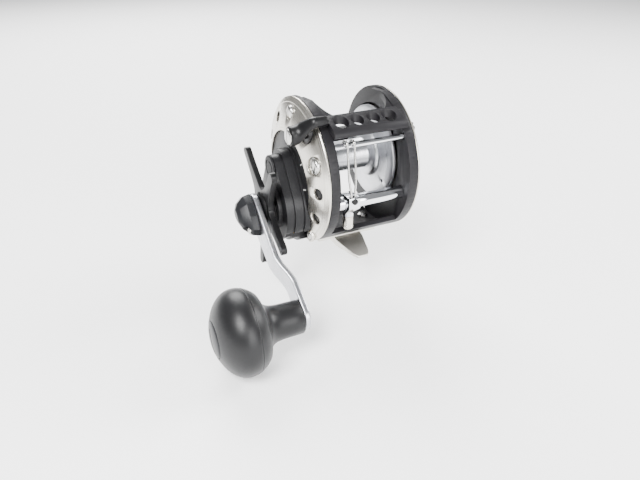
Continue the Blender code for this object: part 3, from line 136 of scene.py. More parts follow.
@dataclass(frozen=True)
class Finish:
    """One material with a pattern at its real scale.

    Attributes:
        name: the material's name.
        colour: its main colour.
        second: the colour it varies towards.
        metallic: 1 for bare metal.
        roughness: average roughness.
        spread: how much the roughness varies.
        surface: the pattern's kind.
        spacing: size of the pattern's features, in mm.
        depth: height of the relief, in mm.
        axis: (y, z) that turned lines run round.
        sheen: strength of a soft-touch sheen.
        gloss: specular level; moulded plastics reflect a little less than the default.
    """

    name: str
    colour: str
    second: str
    metallic: float
    roughness: float
    spread: float
    surface: Surface
    spacing: float
    depth: float
    axis: Point = (0.0, 0.0)
    sheen: float = 0.0
    gloss: float = 0.5

    def pattern(self, tree: bpy.types.NodeTree) -> bpy.types.NodeSocket:
        """Add the nodes of the pattern.

        Args:
            tree: the material's tree.

        Returns:
            A value from 0 to 1 that follows the pattern.
        """
        coords = node(tree, "ShaderNodeTexCoord").outputs["Object"]
        frequency = 1.0 / (self.spacing * MM)
        if self.surface is Surface.TURNED:
            centred = node(tree, "ShaderNodeMapping", {"vector_type": "POINT"}, {
                "Vector": coords, "Location": (0.0, -self.axis[0] * MM, -self.axis[1] * MM),
                "Scale": (1.0, 1.0, 1.0)}).outputs[0]
            split = node(tree, "ShaderNodeSeparateXYZ", inputs={0: centred})
            flat = node(tree, "ShaderNodeCombineXYZ", inputs={"Y": split.outputs[1], "Z": split.outputs[2]})
            radius = node(tree, "ShaderNodeVectorMath", {"operation": "LENGTH"},
                          {0: flat.outputs[0]}).outputs[1]
            along = node(tree, "ShaderNodeMath", {"operation": "ADD"},
                         {0: radius, 1: split.outputs[0]}).outputs[0]
            noise = node(tree, "ShaderNodeTexNoise", {"noise_dimensions": "1D"},
                         {"W": along, "Scale": frequency, "Detail": 3.0, "Roughness": 0.6})
            return noise.outputs[0]
        stretch = (0.04, 1.0, 1.0) if self.surface is Surface.BRUSHED else (1.0, 1.0, 1.0)
        mapped = node(tree, "ShaderNodeMapping", inputs={"Vector": coords, "Scale": stretch}).outputs[0]
        noise = node(tree, "ShaderNodeTexNoise", {"noise_dimensions": "3D"},
                     {"Vector": mapped, "Scale": frequency, "Detail": 4.0, "Roughness": 0.55})
        return noise.outputs[0]

    def build(self) -> bpy.types.Material:
        """Make the material, or return it if it is made already."""
        made = bpy.data.materials.get(self.name)
        if made:
            return made
        made = bpy.data.materials.new(self.name)
        made.use_nodes = True
        tree = made.node_tree
        shader = tree.nodes["Principled BSDF"]
        shader.inputs["Metallic"].default_value = self.metallic
        shader.inputs["Specular IOR Level"].default_value = self.gloss
        shader.inputs["Sheen Weight"].default_value = self.sheen
        shader.inputs["Sheen Roughness"].default_value = 0.4
        fine = self.pattern(tree)
        coords = node(tree, "ShaderNodeTexCoord").outputs["Object"]
        broad = node(tree, "ShaderNodeTexNoise", {"noise_dimensions": "3D"},
                     {"Vector": coords, "Scale": 1.0 / (9.0 * MM), "Detail": 2.0}).outputs[0]
        blend = node(tree, "ShaderNodeMath", {"operation": "MULTIPLY"}, {0: fine, 1: broad}).outputs[0]
        share = node(tree, "ShaderNodeMapRange", inputs={"Value": blend, 1: 0.12, 2: 0.42}).outputs[0]
        mixed = node(tree, "ShaderNodeMix", {"data_type": "RGBA"},
                     {"Factor": share, 6: linear(self.colour), 7: linear(self.second)}).outputs[2]
        tree.links.new(mixed, shader.inputs["Base Color"])
        rough = node(tree, "ShaderNodeMapRange", inputs={
            "Value": fine, 1: 0.25, 2: 0.75,
            3: max(0.02, self.roughness - self.spread), 4: self.roughness + self.spread}).outputs[0]
        tree.links.new(rough, shader.inputs["Roughness"])
        bump = node(tree, "ShaderNodeBump", inputs={
            "Height": fine, "Strength": 0.6, "Distance": self.depth * MM}).outputs[0]
        tree.links.new(bump, shader.inputs["Normal"])
        made.diffuse_color = linear(self.colour)
        return made


# Graphite-filled nylon, moulded: dark neutral grey with a fine matte grain.
GRAPHITE = Finish("graphite_nylon", "161518", "0F0E10", 0.0, 0.46, 0.08, Surface.MOULDED, 0.35, 0.030,
                  gloss=0.22)
# The cover's moulding is a little smoother and blacker than the frame's.
COVER = Finish("cover_nylon", "131315", "0C0C0D", 0.0, 0.38, 0.07, Surface.MOULDED, 0.28, 0.020, gloss=0.22)
# Turned and satin-finished aluminium trim, slightly warm.
TRIM = Finish("turned_trim_aluminium", "E2DED5", "C4BFB5", 1.0, 0.27, 0.07, Surface.TURNED, 0.45, 0.004,
              axis=PLATE_AXIS)
# The crank arm: tumbled and polished aluminium, so its gloss is soft.
ARM = Finish("tumbled_aluminium", "C9CACE", "B7B8BD", 1.0, 0.30, 0.05, Surface.POLISHED, 1.6, 0.006)
# The spool: diamond-turned aluminium with visible tool lines.
SPOOL = Finish("turned_spool_aluminium", "D9DADD", "B9BBC0", 1.0, 0.33, 0.08, Surface.TURNED, 0.40, 0.006,
               axis=SPOOL_AXIS)
# Bright chrome plate on the bars and the carriage.
CHROME = Finish("chrome_plate", "E9EAED", "DADCE0", 1.0, 0.07, 0.03, Surface.POLISHED, 3.0, 0.003)
# Blasted stainless steel of the foot.
FOOT_STEEL = Finish("blasted_stainless", "E2DFD8", "CFCCC4", 1.0, 0.50, 0.07, Surface.MOULDED, 0.30, 0.010)
# Soft-touch coated knob: black, dull, with a faint sheen.
SOFT = Finish("soft_touch_coat", "111113", "0B0B0C", 0.0, 0.40, 0.06, Surface.MOULDED, 0.40, 0.030,
              sheen=0.04, gloss=0.30)
# Dark grey moulded caps.
CAP = Finish("cap_nylon", "1D1E20", "151517", 0.0, 0.32, 0.06, Surface.MOULDED, 0.30, 0.015, gloss=0.22)
# Black acetal of the star, lever and button.
ACETAL = Finish("black_acetal", "0F0F10", "0A0A0B", 0.0, 0.36, 0.07, Surface.MOULDED, 0.45, 0.015, gloss=0.22)
# Cut brass gears, oiled.
BRASS = Finish("cut_brass", "C9A45C", "A9853F", 1.0, 0.26, 0.08, Surface.BRUSHED, 0.30, 0.006)
# Stainless steel of screws, shafts and wire.
STAINLESS = Finish("stainless_steel", "CFCECB", "B2B1AD", 1.0, 0.22, 0.08, Surface.BRUSHED, 0.25, 0.004)
# Woven drag washers.
DRAG = Finish("drag_fabric", "4A3F31", "352D23", 0.0, 0.85, 0.05, Surface.MOULDED, 0.60, 0.080)
# White printed index lines.
PRINT = Finish("index_print", "D8D8D6", "C4C4C2", 0.0, 0.55, 0.04, Surface.MOULDED, 0.50, 0.004)

BY_SLOT = {
    "graphite": GRAPHITE, "black_cover": COVER, "satin_silver": TRIM, "polished_aluminium": ARM,
    "spool_aluminium": SPOOL, "chrome": CHROME, "foot_steel": FOOT_STEEL, "soft_grip": SOFT,
    "cap_grey": CAP, "black_plastic": ACETAL, "gear_brass": BRASS, "stainless": STAINLESS,
    "drag_fibre": DRAG,
}


# ---------------------------------------------------------------------------
# Shapes: each returns a closed bmesh in mm
# ---------------------------------------------------------------------------

def turned(profile: Profile, axis: Point, segments: int = FINE) -> bmesh.types.BMesh:
    """Turn a profile of (x, radius) points about a line along X.

    Args:
        profile: points; one that starts at radius 0 makes a solid, any other a ring.
        axis: (y, z) of the line.
        segments: steps of the full turn.

    Returns:
        The turned shape.
    """
    bm = bmesh.new()
    verts = [bm.verts.new((x, 0.0, radius)) for x, radius in profile]
    edges = [bm.edges.new(pair) for pair in zip(verts, verts[1:])]
    if profile[0][1] > 0.0:
        edges.append(bm.edges.new((verts[-1], verts[0])))
    bmesh.ops.spin(bm, geom=verts + edges, cent=(0, 0, 0), axis=(1, 0, 0), dvec=(0, 0, 0),
                   angle=math.tau, steps=segments, use_merge=True)
    bmesh.ops.remove_doubles(bm, verts=bm.verts, dist=1e-4)
    bm.transform(Matrix.Translation((0.0, axis[0], axis[1])))
    return bm


def disc(x0: float, x1: float, radius: float, axis: Point, segments: int = 64) -> bmesh.types.BMesh:
    """Make a plain cylinder along X, from x0 to x1."""
    return turned([(x0, 0.0), (x0, radius), (x1, radius), (x1, 0.0)], axis, segments)


def prism(outline: Profile, x0: float, x1: float) -> bmesh.types.BMesh:
    """Extrude an outline of (y, z) points along X."""
    bm = bmesh.new()
    face = bm.faces.new([bm.verts.new((x0, y, z)) for y, z in outline])
    grown = bmesh.ops.extrude_face_region(bm, geom=[face])
    moved = [item for item in grown["geom"] if isinstance(item, bmesh.types.BMVert)]
    bmesh.ops.translate(bm, verts=moved, vec=(x1 - x0, 0.0, 0.0))
    return bm


def block(x: Point, y: Point, z: Point) -> bmesh.types.BMesh:
    """Make a box from its limits along each axis."""
    return prism([(y[0], z[0]), (y[1], z[0]), (y[1], z[1]), (y[0], z[1])], x[0], x[1])


def arc(axis: Point, radius: float, start: float, end: float, count: int) -> list[Point]:
    """Points of an arc in the YZ plane, in count steps; angles in degrees from +Y towards +Z."""
    turns = [math.radians(start + (end - start) * step / count) for step in range(count + 1)]
    return [(axis[0] + radius * math.cos(turn), axis[1] + radius * math.sin(turn)) for turn in turns]


def around(axis: Point, radius: float, degrees: float) -> Point:
    """Place at an angle round an axis; 0 is the front of the reel and 90 its top."""
    return arc(axis, radius, 180.0 - degrees, 180.0, 1)[0]


def keyhole(low: float, high: float, count: int = 72) -> list[Point]:
    """Outline round a circle on the drive axis and one on the spool axis, with straight tangents.

    Args:
        low: radius on the drive axis.
        high: radius on the spool axis.
        count: steps of the lower circle; the upper one has half as many.

    Returns:
        Points of the outline.
    """
    span = math.dist(DRIVE_AXIS, SPOOL_AXIS)
    lean = math.degrees(math.atan2(SPOOL_AXIS[1] - DRIVE_AXIS[1], SPOOL_AXIS[0] - DRIVE_AXIS[0]))
    spread = math.degrees(math.acos((low - high) / span))
    return (arc(SPOOL_AXIS, high, lean - spread, lean + spread, count // 2)
            + arc(DRIVE_AXIS, low, lean + spread, lean + 360.0 - spread, count))


def upright(profile: Profile, x: float, y: float, segments: int = 48) -> bmesh.types.BMesh:
    """Turn a profile of (z, radius) points about an upright line."""
    bm = turned(profile, (0.0, 0.0), segments)
    bm.transform(Matrix.Translation((x, y, 0.0)) @ Matrix.Rotation(-math.pi / 2, 4, "Y"))
    return bm


def lying(profile: Profile, x: float, z: float, segments: int = 40) -> bmesh.types.BMesh:
    """Turn a profile of (y, radius) points about a line along Y."""
    bm = turned(profile, (0.0, 0.0), segments)
    bm.transform(Matrix.Translation((x, 0.0, z)) @ Matrix.Rotation(math.pi / 2, 4, "Z"))
    return bm


def lofted(sections: Sequence[Sequence[Vector]]) -> bmesh.types.BMesh:
    """Join sections with the same number of points into one closed skin."""
    bm = bmesh.new()
    rings = [[bm.verts.new(point) for point in section] for section in sections]
    count = len(rings[0])
    for one, two in zip(rings, rings[1:]):
        for index in range(count):
            after = (index + 1) % count
            bm.faces.new((one[index], one[after], two[after], two[index]))
    bm.faces.new(rings[0])
    bm.faces.new(rings[-1])
    return bm


# ---------------------------------------------------------------------------
# Making pieces
# ---------------------------------------------------------------------------

@dataclass(frozen=True)
class Edge:
    """How a piece's edges are softened.

    Attributes:
        width: bevel width in mm, 0 for none.
        segments: facets of the bevel.
        angle: edges sharper than this are bevelled, in degrees.
    """

    width: float = 0.25
    segments: int = 3
    angle: float = 32.0


def outward(bm: bmesh.types.BMesh) -> None:
    """Point every face of a closed shape outwards."""
    bmesh.ops.recalc_face_normals(bm, faces=bm.faces)
    if bm.calc_volume(signed=True) < 0.0:
        bmesh.ops.reverse_faces(bm, faces=bm.faces)


def to_object(name: str, bm: bmesh.types.BMesh) -> bpy.types.Object:
    """Turn a bmesh in mm into an object in metres, standing at the origin."""
    outward(bm)
    bm.transform(Matrix.Scale(MM, 4))
    mesh = bpy.data.meshes.new(name)
    bm.to_mesh(mesh)
    bm.free()
    item = bpy.data.objects.new(name, mesh)
    bpy.context.collection.objects.link(item)
    return item


def apply_modifiers(item: bpy.types.Object) -> None:
    """Turn an object's modifiers into its mesh."""
    graph = bpy.context.evaluated_depsgraph_get()
    mesh = bpy.data.meshes.new_from_object(item.evaluated_get(graph))
    item.modifiers.clear()
    item.data = mesh


def combine(item: bpy.types.Object, shapes: Iterable[bmesh.types.BMesh], operation: str) -> None:
    """Cut shapes from an object, or join them to it, and drop the shapes.

    Args:
        item: the object that is changed.
        shapes: the shapes, in mm.
        operation: UNION or DIFFERENCE.
    """
    helpers = []
    for number, bm in enumerate(shapes):
        helper = to_object(f"{item.name}_{operation.lower()}_{number}", bm)
        modifier = item.modifiers.new(helper.name, "BOOLEAN")
        modifier.operation = operation
        modifier.solver = "EXACT"
        modifier.object = helper
        helpers.append(helper)
    apply_modifiers(item)
    for helper in helpers:
        bpy.data.objects.remove(helper, do_unlink=True)


@dataclass
class Maker:
    """Makes the pieces of one sub-assembly and hides the frame's nodes they stand for.

    Attributes:
        body: the moving body the pieces ride on.
    """

    body: str

    def piece(self, name: str, bm: bmesh.types.BMesh, finish: Finish, slot: str, *nodes: str,
              add: Iterable[bmesh.types.BMesh] = (), cut: Iterable[bmesh.types.BMesh] = (),
              edge: Edge = Edge(), sharp: float = 35.0) -> bpy.types.Object:
        """Make one finished piece.

        Args:
            name: the piece's name.
            bm: its base shape.
            finish: its material.
            slot: the name of that material's slot; not used.
            nodes: the frame's nodes it stands for.
            add: shapes joined to it.
            cut: shapes cut from it.
            edge: how its edges are softened.
            sharp: angle above which an edge stays crisp, in degrees.

        Returns:
            The piece's object.
        """
        item = to_object(name, bm)
        added, removed = list(add), list(cut)
        if added:
            combine(item, added, "UNION")
        if removed:
            combine(item, removed, "DIFFERENCE")
        clean = bmesh.new()
        clean.from_mesh(item.data)
        bmesh.ops.remove_doubles(clean, verts=clean.verts, dist=2e-6)
        bmesh.ops.dissolve_degenerate(clean, edges=clean.edges, dist=1e-6)
        bmesh.ops.dissolve_limit(clean, angle_limit=math.radians(0.4), use_dissolve_boundaries=False,
                                 verts=clean.verts, edges=clean.edges)
        clean.to_mesh(item.data)
        clean.free()
        if edge.width > 0.0:
            bevel = item.modifiers.new("soft_edges", "BEVEL")
            bevel.width = edge.width * MM
            bevel.segments = edge.segments
            bevel.limit_method = "ANGLE"
            bevel.angle_limit = math.radians(edge.angle)
            bevel.miter_outer = "MITER_ARC"
            bevel.use_clamp_overlap = True
            apply_modifiers(item)
        item.data.shade_smooth()
        item.data.set_sharp_from_angle(angle=math.radians(sharp))
        item.data.materials.clear()
        item.data.materials.append(finish.build())
        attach(item, self.body)
        if nodes:
            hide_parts(*nodes)
        LOG.info("%s: %d faces", name, len(item.data.polygons))
        return item


# ---------------------------------------------------------------------------
# Frame and foot
# ---------------------------------------------------------------------------

@dataclass
class ReelFrame(Maker):
    """The one-piece graphite frame: two rings, top bar, rear bar and floor.

    Attributes:
        radius: radius of both rings.
        inner_x: inner face of each ring.
        step_x: face of the thick front part of each ring.
        outer_x: outer face of each ring.
        opening: radius of the spool's opening.
        bar_holes: (x, radius) of the holes in the top bar.
        seat_z: height of the flat the foot is screwed to.
    """

    radius: float = 38.0
    inner_x: float = 19.2
    step_x: float = 22.2
    outer_x: float = 24.0
    opening: float = 26.0
    bar_holes: tuple[Point, ...] = ((-13.4, 3.9), (-4.8, 3.3), (4.0, 3.3), (12.6, 3.9))
    seat_z: float = 6.7

    def step_outline(self) -> list[Point]:
        """Outline of a ring's thick part, drawn in at the back."""
        front = arc(PLATE_AXIS, self.radius, 98.0, 265.0, 80)
        draw_in = ((37.4, -92.5), (36.8, -95.0), (35.6, -98.0), (34.2, -101.0), (33.0, -105.0))
        low = [around(PLATE_AXIS, reach, turn) for reach, turn in draw_in]
        back = arc(PLATE_AXIS, 32.5, 289.0, 410.0, 60)
        swell = ((32.9, 124.0), (33.4, 120.0), (34.3, 115.0), (35.2, 110.0), (36.2, 104.0), (37.0, 98.0))
        high = [around(PLATE_AXIS, reach, turn) for reach, turn in swell]
        return front + low + back + high

    def bar_outline(self) -> list[Point]:
        """Section of the top bar, which slopes down to a rounded front edge."""
        return [(-19.0, 77.9), (-21.5, 77.4), (-24.0, 76.7), (-26.0, 76.0), (-28.0, 75.2), (-29.5, 74.4),
                (-30.6, 73.5), (-31.4, 72.6), (-31.8, 71.6), (-31.8, 70.9), (-31.2, 70.3), (-30.2, 70.5),
                (-29.0, 71.0), (-25.0, 73.0), (-19.4, 74.4)]

    def shell(self, start: float, end: float, thickness: float) -> list[Point]:
        """Section of a stretch of shell from one angle to another."""
        return (arc(PLATE_AXIS, self.radius - 0.05, start, end, 36)
                + arc(PLATE_AXIS, self.radius - thickness, end, start, 36))

    def corner(self, side: int) -> bmesh.types.BMesh:
        """Web that widens the top bar in a concave sweep where it meets a ring."""
        reach, steps = 8.5, 20
        start, end = 121.0, 97.0
        outline = [(start, side * (self.inner_x + 0.5))]
        for step in range(steps + 1):
            rest = 1.0 - step / steps
            inset = reach * (1.0 - math.sqrt(1.0 - rest * rest)) if step else reach
            outline.append((start + (end - start) * step / steps, side * (self.inner_x - inset)))
        outline.append((end, side * (self.inner_x + 0.5)))
        sections = []
        for radius in (self.radius - 0.12, self.radius - 3.4):
            sections.append([Vector((x, *arc(PLATE_AXIS, radius, turn, turn, 1)[0])) for turn, x in outline])
        bm = lofted(sections)
        bmesh.ops.triangulate(bm, faces=[face for face in bm.faces if len(face.verts) > 4])
        return bm

    def bar_hole(self, x: float, radius: float) -> bmesh.types.BMesh:
        """Cutter for one hole of the top bar, square to its slope."""
        bm = disc(-6.0, 6.0, radius, (0.0, 0.0), 48)
        bm.transform(Matrix.Translation((x, -25.2, 75.2)) @ Matrix.Rotation(math.radians(-110.0), 4, "X")
                     @ Matrix.Rotation(math.pi / 2, 4, "Z"))
        return bm

    def build(self) -> None:
        """Build the frame."""
        step = self.step_outline()
        wide = self.inner_x + 0.6
        add = [disc(self.step_x, self.outer_x, self.radius, PLATE_AXIS, FINE),
               prism(step, -self.step_x - 0.4, -self.inner_x),
               disc(-self.outer_x, -self.step_x, self.radius, PLATE_AXIS, FINE),
               prism(self.bar_outline(), -wide, wide), self.corner(-1), self.corner(1),
               prism(self.shell(223.0, 292.0, 2.6), -wide, wide),
               prism(self.shell(-9.0, 9.0, 3.2), -self.outer_x + 0.7, self.outer_x - 0.7)]
        cuts = [disc(-26.0, 26.0, self.opening, SPOOL_AXIS, FINE),
                block((-40.0, 40.0), (-40.0, 40.0), (0.0, self.seat_z)),
                *[self.bar_hole(x, radius) for x, radius in self.bar_holes],
                # Room for the gears, then sockets for the level wind's shaft and the guide bar.
                disc(-24.5, -21.0, 9.7, DRIVE_AXIS, 48), disc(-24.5, -21.0, 4.3, WORM_AXIS, 32),
                disc(-22.0, -18.0, 1.8, WORM_AXIS, 32), disc(18.0, 21.6, 1.9, WORM_AXIS, 32),
                disc(-21.4, -18.0, 1.8, GUIDE_BAR_AXIS, 32), disc(18.0, 21.4, 1.8, GUIDE_BAR_AXIS, 32)]
        base = prism(step, self.inner_x, self.step_x + 0.4)
        self.piece("graphite_frame", base, GRAPHITE, "graphite", "frame", add=add, cut=cuts,
                   edge=Edge(0.40, 4, 34.0))


@dataclass
class RodFoot(Maker):
    """The steel foot whose two tongues lie in a rod's seat.

    Attributes:
        half_length: from the middle to a tongue's tip.
        base: half width and half depth of the plate under the frame.
        top_z: height of the plate's top.
        screws_x: places of the screws.
    """

    half_length: float = 28.5
    base: Point = (17.5, 9.0)
    top_z: float = 6.4
    screws_x: Point = (-14.4, 14.4)

    def taper(self, side: int, end: int) -> bmesh.types.BMesh:
        """Wedge that narrows one edge of a tongue towards its round tip."""
        tip_y = self.half_length
        places = [(side * 8.4, end * (self.base[1] + 1.0)), (side * 5.0, end * (tip_y - 4.0)),
                  (side * 4.3, end * (tip_y - 2.2)), (side * 3.6, end * (tip_y - 1.0)),
                  (side * 2.6, end * (tip_y + 0.1)), (side * 2.6, end * (tip_y + 0.6)),
                  (side * 14.0, end * (tip_y + 0.6)), (side * 14.0, end * (self.base[1] + 1.0))]
        bm = bmesh.new()
        face = bm.faces.new([bm.verts.new((x, y, -1.0)) for x, y in places])
        grown = bmesh.ops.extrude_face_region(bm, geom=[face])
        moved = [item for item in grown["geom"] if isinstance(item, bmesh.types.BMVert)]
        bmesh.ops.translate(bm, verts=moved, vec=(0.0, 0.0, 12.0))
        return bm

    def build(self) -> None:
        """Build the foot."""
        long, deep = self.half_length, self.base[1]
        half = [(-long, 0.0), (-long, 1.3), (-deep, 4.6), (-5.0, 6.0)]
        section = half + [(-y, z) for y, z in reversed(half)]
        cuts = [self.taper(side, end) for side in (-1, 1) for end in (-1, 1)]
        plate = block((-self.base[0], self.base[0]), (-deep, deep), (3.6, self.top_z))
        holes = [upright([(1.0, 0.0), (1.0, 1.9), (9.0, 1.9), (9.0, 0.0)], x, 0.0) for x in self.screws_x]
        self.piece("rod_foot", prism(section, -8.0, 8.0), FOOT_STEEL, "foot_steel", "foot",
                   cut=cuts + holes, add=[plate], edge=Edge(0.45, 4, 30.0))


# ---------------------------------------------------------------------------
# Side plates
# ---------------------------------------------------------------------------

@dataclass
class SidePlates(Maker):
    """Both side covers with their silver trim rings, screws, caps and index lines.

    Attributes:
        radius: outer radius of a ring.
        seam_x: distance of a plate's inner face from the middle of the reel.
        shoulder: radius where a ring's bevel ends and its cone starts.
        cone_start: distance of the cone from the middle of the reel, there.
        slope: rise of the cone for each mm towards the middle.
        window: radius of the hole in a ring.
        face_x: distance of the handle side's flat face from the middle of the reel.
        housing: (x, low radius, high radius) of the steps of the gear housing.
        boss: x and radius of the round boss the crank comes out of.
        near_screws: (angle, distance, head radius) of the handle side's screws.
        near_holes: (angle, distance) of its open holes.
        tab: (angle, distance) of the ring's rounded tab.
        far_screws: screws of the far side, given in the same way.
        far_holes: open holes of the far side.
    """

    radius: float = 38.0
    seam_x: float = 24.3
    shoulder: float = 35.2
    cone_start: float = 26.9
    slope: float = 0.343
    window: float = 24.6
    face_x: float = 30.2
    housing: tuple[Triple, ...] = ((-31.3, 20.4, 11.5), (-36.0, 19.2, 9.3), (-40.2, 18.2, 6.8))
    boss: Point = (-42.2, 12.0)
    near_screws: tuple[Triple, ...] = (
        (25.0, 30.2, 4.3), (93.0, 31.0, 3.3), (205.0, 31.0, 3.3), (-57.0, 34.4, 2.9))
    near_holes: tuple[Point, ...] = ((-1.0, 31.0), (-29.0, 31.6), (126.0, 29.6), (160.0, 30.6))
    tab: Point = (-57.0, 34.4)
    far_screws: tuple[Triple, ...] = ((45.0, 31.0, 3.3), (165.0, 31.0, 3.3), (285.0, 31.0, 3.3))
    far_holes: tuple[Point, ...] = ((105.0, 31.0), (225.0, 31.0), (345.0, 31.0))

    def cone_x(self, radius: float) -> float:
        """Distance of a ring's cone from the middle of the reel."""
        return self.cone_start + (self.shoulder - radius) * self.slope

    def trim_profile(self, side: int) -> list[Point]:
        """Section of a trim ring: rim, bevel and cone, with a fine groove at the bevel's foot."""
        inner = 19.5
        points = [(self.seam_x, 36.6), (self.seam_x, self.radius), (24.95, self.radius),
                  (25.15, self.radius - 0.12), (26.75, self.shoulder + 0.3), (26.72, self.shoulder),
                  (self.cone_start, self.shoulder - 0.25),
                  (self.cone_x(inner), inner), (self.cone_x(inner) - 1.3, inner), (25.6, self.shoulder - 0.5)]
        return [(side * x, reach) for x, reach in points]

    def cover_profile(self, face: float) -> list[Point]:
        """Section of a cover under its ring, out to the face inside the ring, on the -X side."""
        cone_end = self.shoulder - (face - self.cone_start + 1.6) / self.slope
        return [(-self.seam_x, 0.0), (-self.seam_x, 36.2), (-25.3, 34.5), (-face, cone_end), (-face, 0.0)]

    def screw_holes(self, screws: Sequence[Triple], x0: float, x1: float) -> list[bmesh.types.BMesh]:
        """Cutters from x0 to x1 that leave room round the heads of a side's screws."""
        return [disc(x0, x1, reach + ROOM, around(PLATE_AXIS, out, turn), 48) for turn, out, reach in screws]

    def near_ring(self) -> None:
        """Build the handle side's ring, broken by the gear housing and the lever."""
        turn, out = self.tab
        add = [disc(-27.7, -26.3, 4.0, around(PLATE_AXIS, out, turn), 64)]
        _, low, high = self.housing[0]
        gap = prism([PLATE_AXIS] + [around(PLATE_AXIS, 40.0, turn) for turn in (-106.0, -74.0)], *CUT_NEAR)
        cuts = [disc(*CUT_NEAR, self.window, OPENING_AXIS, FINE),
                prism(keyhole(low + ROOM, high + ROOM), *CUT_NEAR), gap,
                disc(*CUT_NEAR, 4.9, LEVER_AXIS, 64)]
        cuts += self.screw_holes(self.near_screws, -34.0, -20.0)
        cuts += [disc(-34.0, -20.0, 3.0, around(PLATE_AXIS, out, turn), 48) for turn, out in self.near_holes]
        base = turned(self.trim_profile(-1), PLATE_AXIS)
        self.piece("handle_side_trim", base, TRIM, "satin_silver", "handle_side_ring", add=add, cut=cuts,
                   edge=Edge(0.16, 2, 40.0), sharp=25.0)

    def far_ring(self) -> None:
        """Build the far side's ring."""
        cuts = [disc(20.0, 36.0, self.window, PLATE_AXIS, FINE)]
        cuts += self.screw_holes(self.far_screws, *CUT_FAR)
        cuts += [disc(*CUT_FAR, 3.0, around(PLATE_AXIS, out, turn), 48) for turn, out in self.far_holes]
        self.piece("far_side_trim", turned(self.trim_profile(1), PLATE_AXIS), TRIM, "satin_silver",
                   "far_side_ring", cut=cuts, edge=Edge(0.16, 2, 40.0), sharp=25.0)

    def near_cover(self) -> None:
        """Build the handle side's cover with its stepped gear housing."""
        add = [disc(-self.face_x, -27.5, self.window - 0.4, OPENING_AXIS, FINE)]
        add += [prism(keyhole(low, high), front, -26.6 - 0.2 * number)
                for number, (front, low, high) in enumerate(self.housing)]
        gap = (-104.5, -100.0, -95.0, -90.0, -85.0, -80.0, -75.5)
        skirt = [around(PLATE_AXIS, 37.4, turn) for turn in gap]
        add += [disc(self.boss[0], -38.0, self.boss[1], DRIVE_AXIS, 96),
                disc(-29.0, -25.6, 4.6, LEVER_AXIS, 64), prism([DRIVE_AXIS] + skirt, -29.6, -24.3)]
        hollow = [(-22.0, 0.0), (-22.0, 35.3), (-24.9, 35.0), (-25.2, 32.5), (-28.6, 22.6), (-28.6, 0.0)]
        turn, out = self.tab
        cuts = [disc(-31.4, -26.3, 4.3, around(PLATE_AXIS, out, turn), 64), turned(hollow, PLATE_AXIS),
                prism(keyhole(15.4, 10.0), -31.2, -21.0), prism(keyhole(17.4, 7.6), -35.4, -31.0),
                prism(keyhole(15.0, 5.2), -38.8, -35.2), disc(-45.0, -22.0, 5.2, SPOOL_AXIS, 64),
                disc(-45.0, -22.0, 6.6, DRIVE_AXIS, 64), disc(-33.0, -22.0, 2.4, LEVER_AXIS, 32),
                prism(arc(LEVER_AXIS, 3.8, -25.0, 205.0, 24) + arc(LEVER_AXIS, 5.4, -155.0, -130.0, 6)
                      + arc(LEVER_AXIS, 7.8, -130.0, -25.0, 12), -27.03, -22.1)]
        cuts += self.screw_holes(self.near_screws, -40.0, -26.3)
        self.piece("handle_side_moulding", turned(self.cover_profile(self.face_x), PLATE_AXIS), COVER,
                   "black_cover", "handle_side_cover", add=add, cut=cuts, edge=Edge(0.55, 4, 38.0))

    def far_cover(self) -> None:
        """Build the far side's cover, a low dish with the clicker's slot."""
        profile = [(-x, reach) for x, reach in self.cover_profile(30.0)][::-1]
        dish = [(28.4, 0.0), (28.4, 22.6), (25.2, 32.5), (24.9, 35.0), (22.0, 35.3), (22.0, 0.0)]
        cuts = [disc(20.0, 34.0, 5.2, SPOOL_AXIS, 64), block((26.0, 34.0), (-2.4, 2.4), (29.6, 39.0))]
        cuts += self.screw_holes(self.far_screws, 26.3, 40.0)
        hollow = to_object("far_side_dish", turned(profile, PLATE_AXIS))
        combine(hollow, [turned(dish, PLATE_AXIS)], "DIFFERENCE")
        bm = bmesh.new()
        bm.from_mesh(hollow.data)
        bm.transform(Matrix.Scale(1.0 / MM, 4))
        bpy.data.objects.remove(hollow, do_unlink=True)
        self.piece("far_side_moulding", bm, COVER, "black_cover", "far_side_cover",
                   add=[disc(24.4, 29.0, 6.8, SPOOL_AXIS, 64)], cut=cuts, edge=Edge(0.45, 4, 38.0))

    def screw(self, name: str, replaced: str, side: int, spec: Triple) -> None:
        """Build one slotted, domed screw.

        Args:
            name: the piece's name.
            replaced: the frame's node it stands for.
            side: -1 for the handle side, 1 for the far side.
            spec: its angle, distance and head radius.
        """
        turn, out, reach = spec
        place = around(PLATE_AXIS, out, turn)
        face = self.cone_x(out) + 0.5
        dome = [(face - 0.7, reach), (face - 0.4, reach - 0.05), (face, reach * 0.92),
                (face + 0.3, reach * 0.72), (face + 0.5, reach * 0.5), (face + 0.64, reach * 0.25),
                (face + 0.7, 0.0)]
        profile = [(side * 26.6, 0.0), (side * 26.6, reach)] + [(side * x, across) for x, across in dome]
        slot = block((side * (face - 0.5), side * 40.0), (place[0] - 0.5, place[0] + 0.5),
                     (place[1] - 8.0, place[1] + 8.0))
        self.piece(name, turned(profile, place, 64), STAINLESS, "stainless", replaced, cut=[slot],
                   edge=Edge(0.08, 2, 40.0))

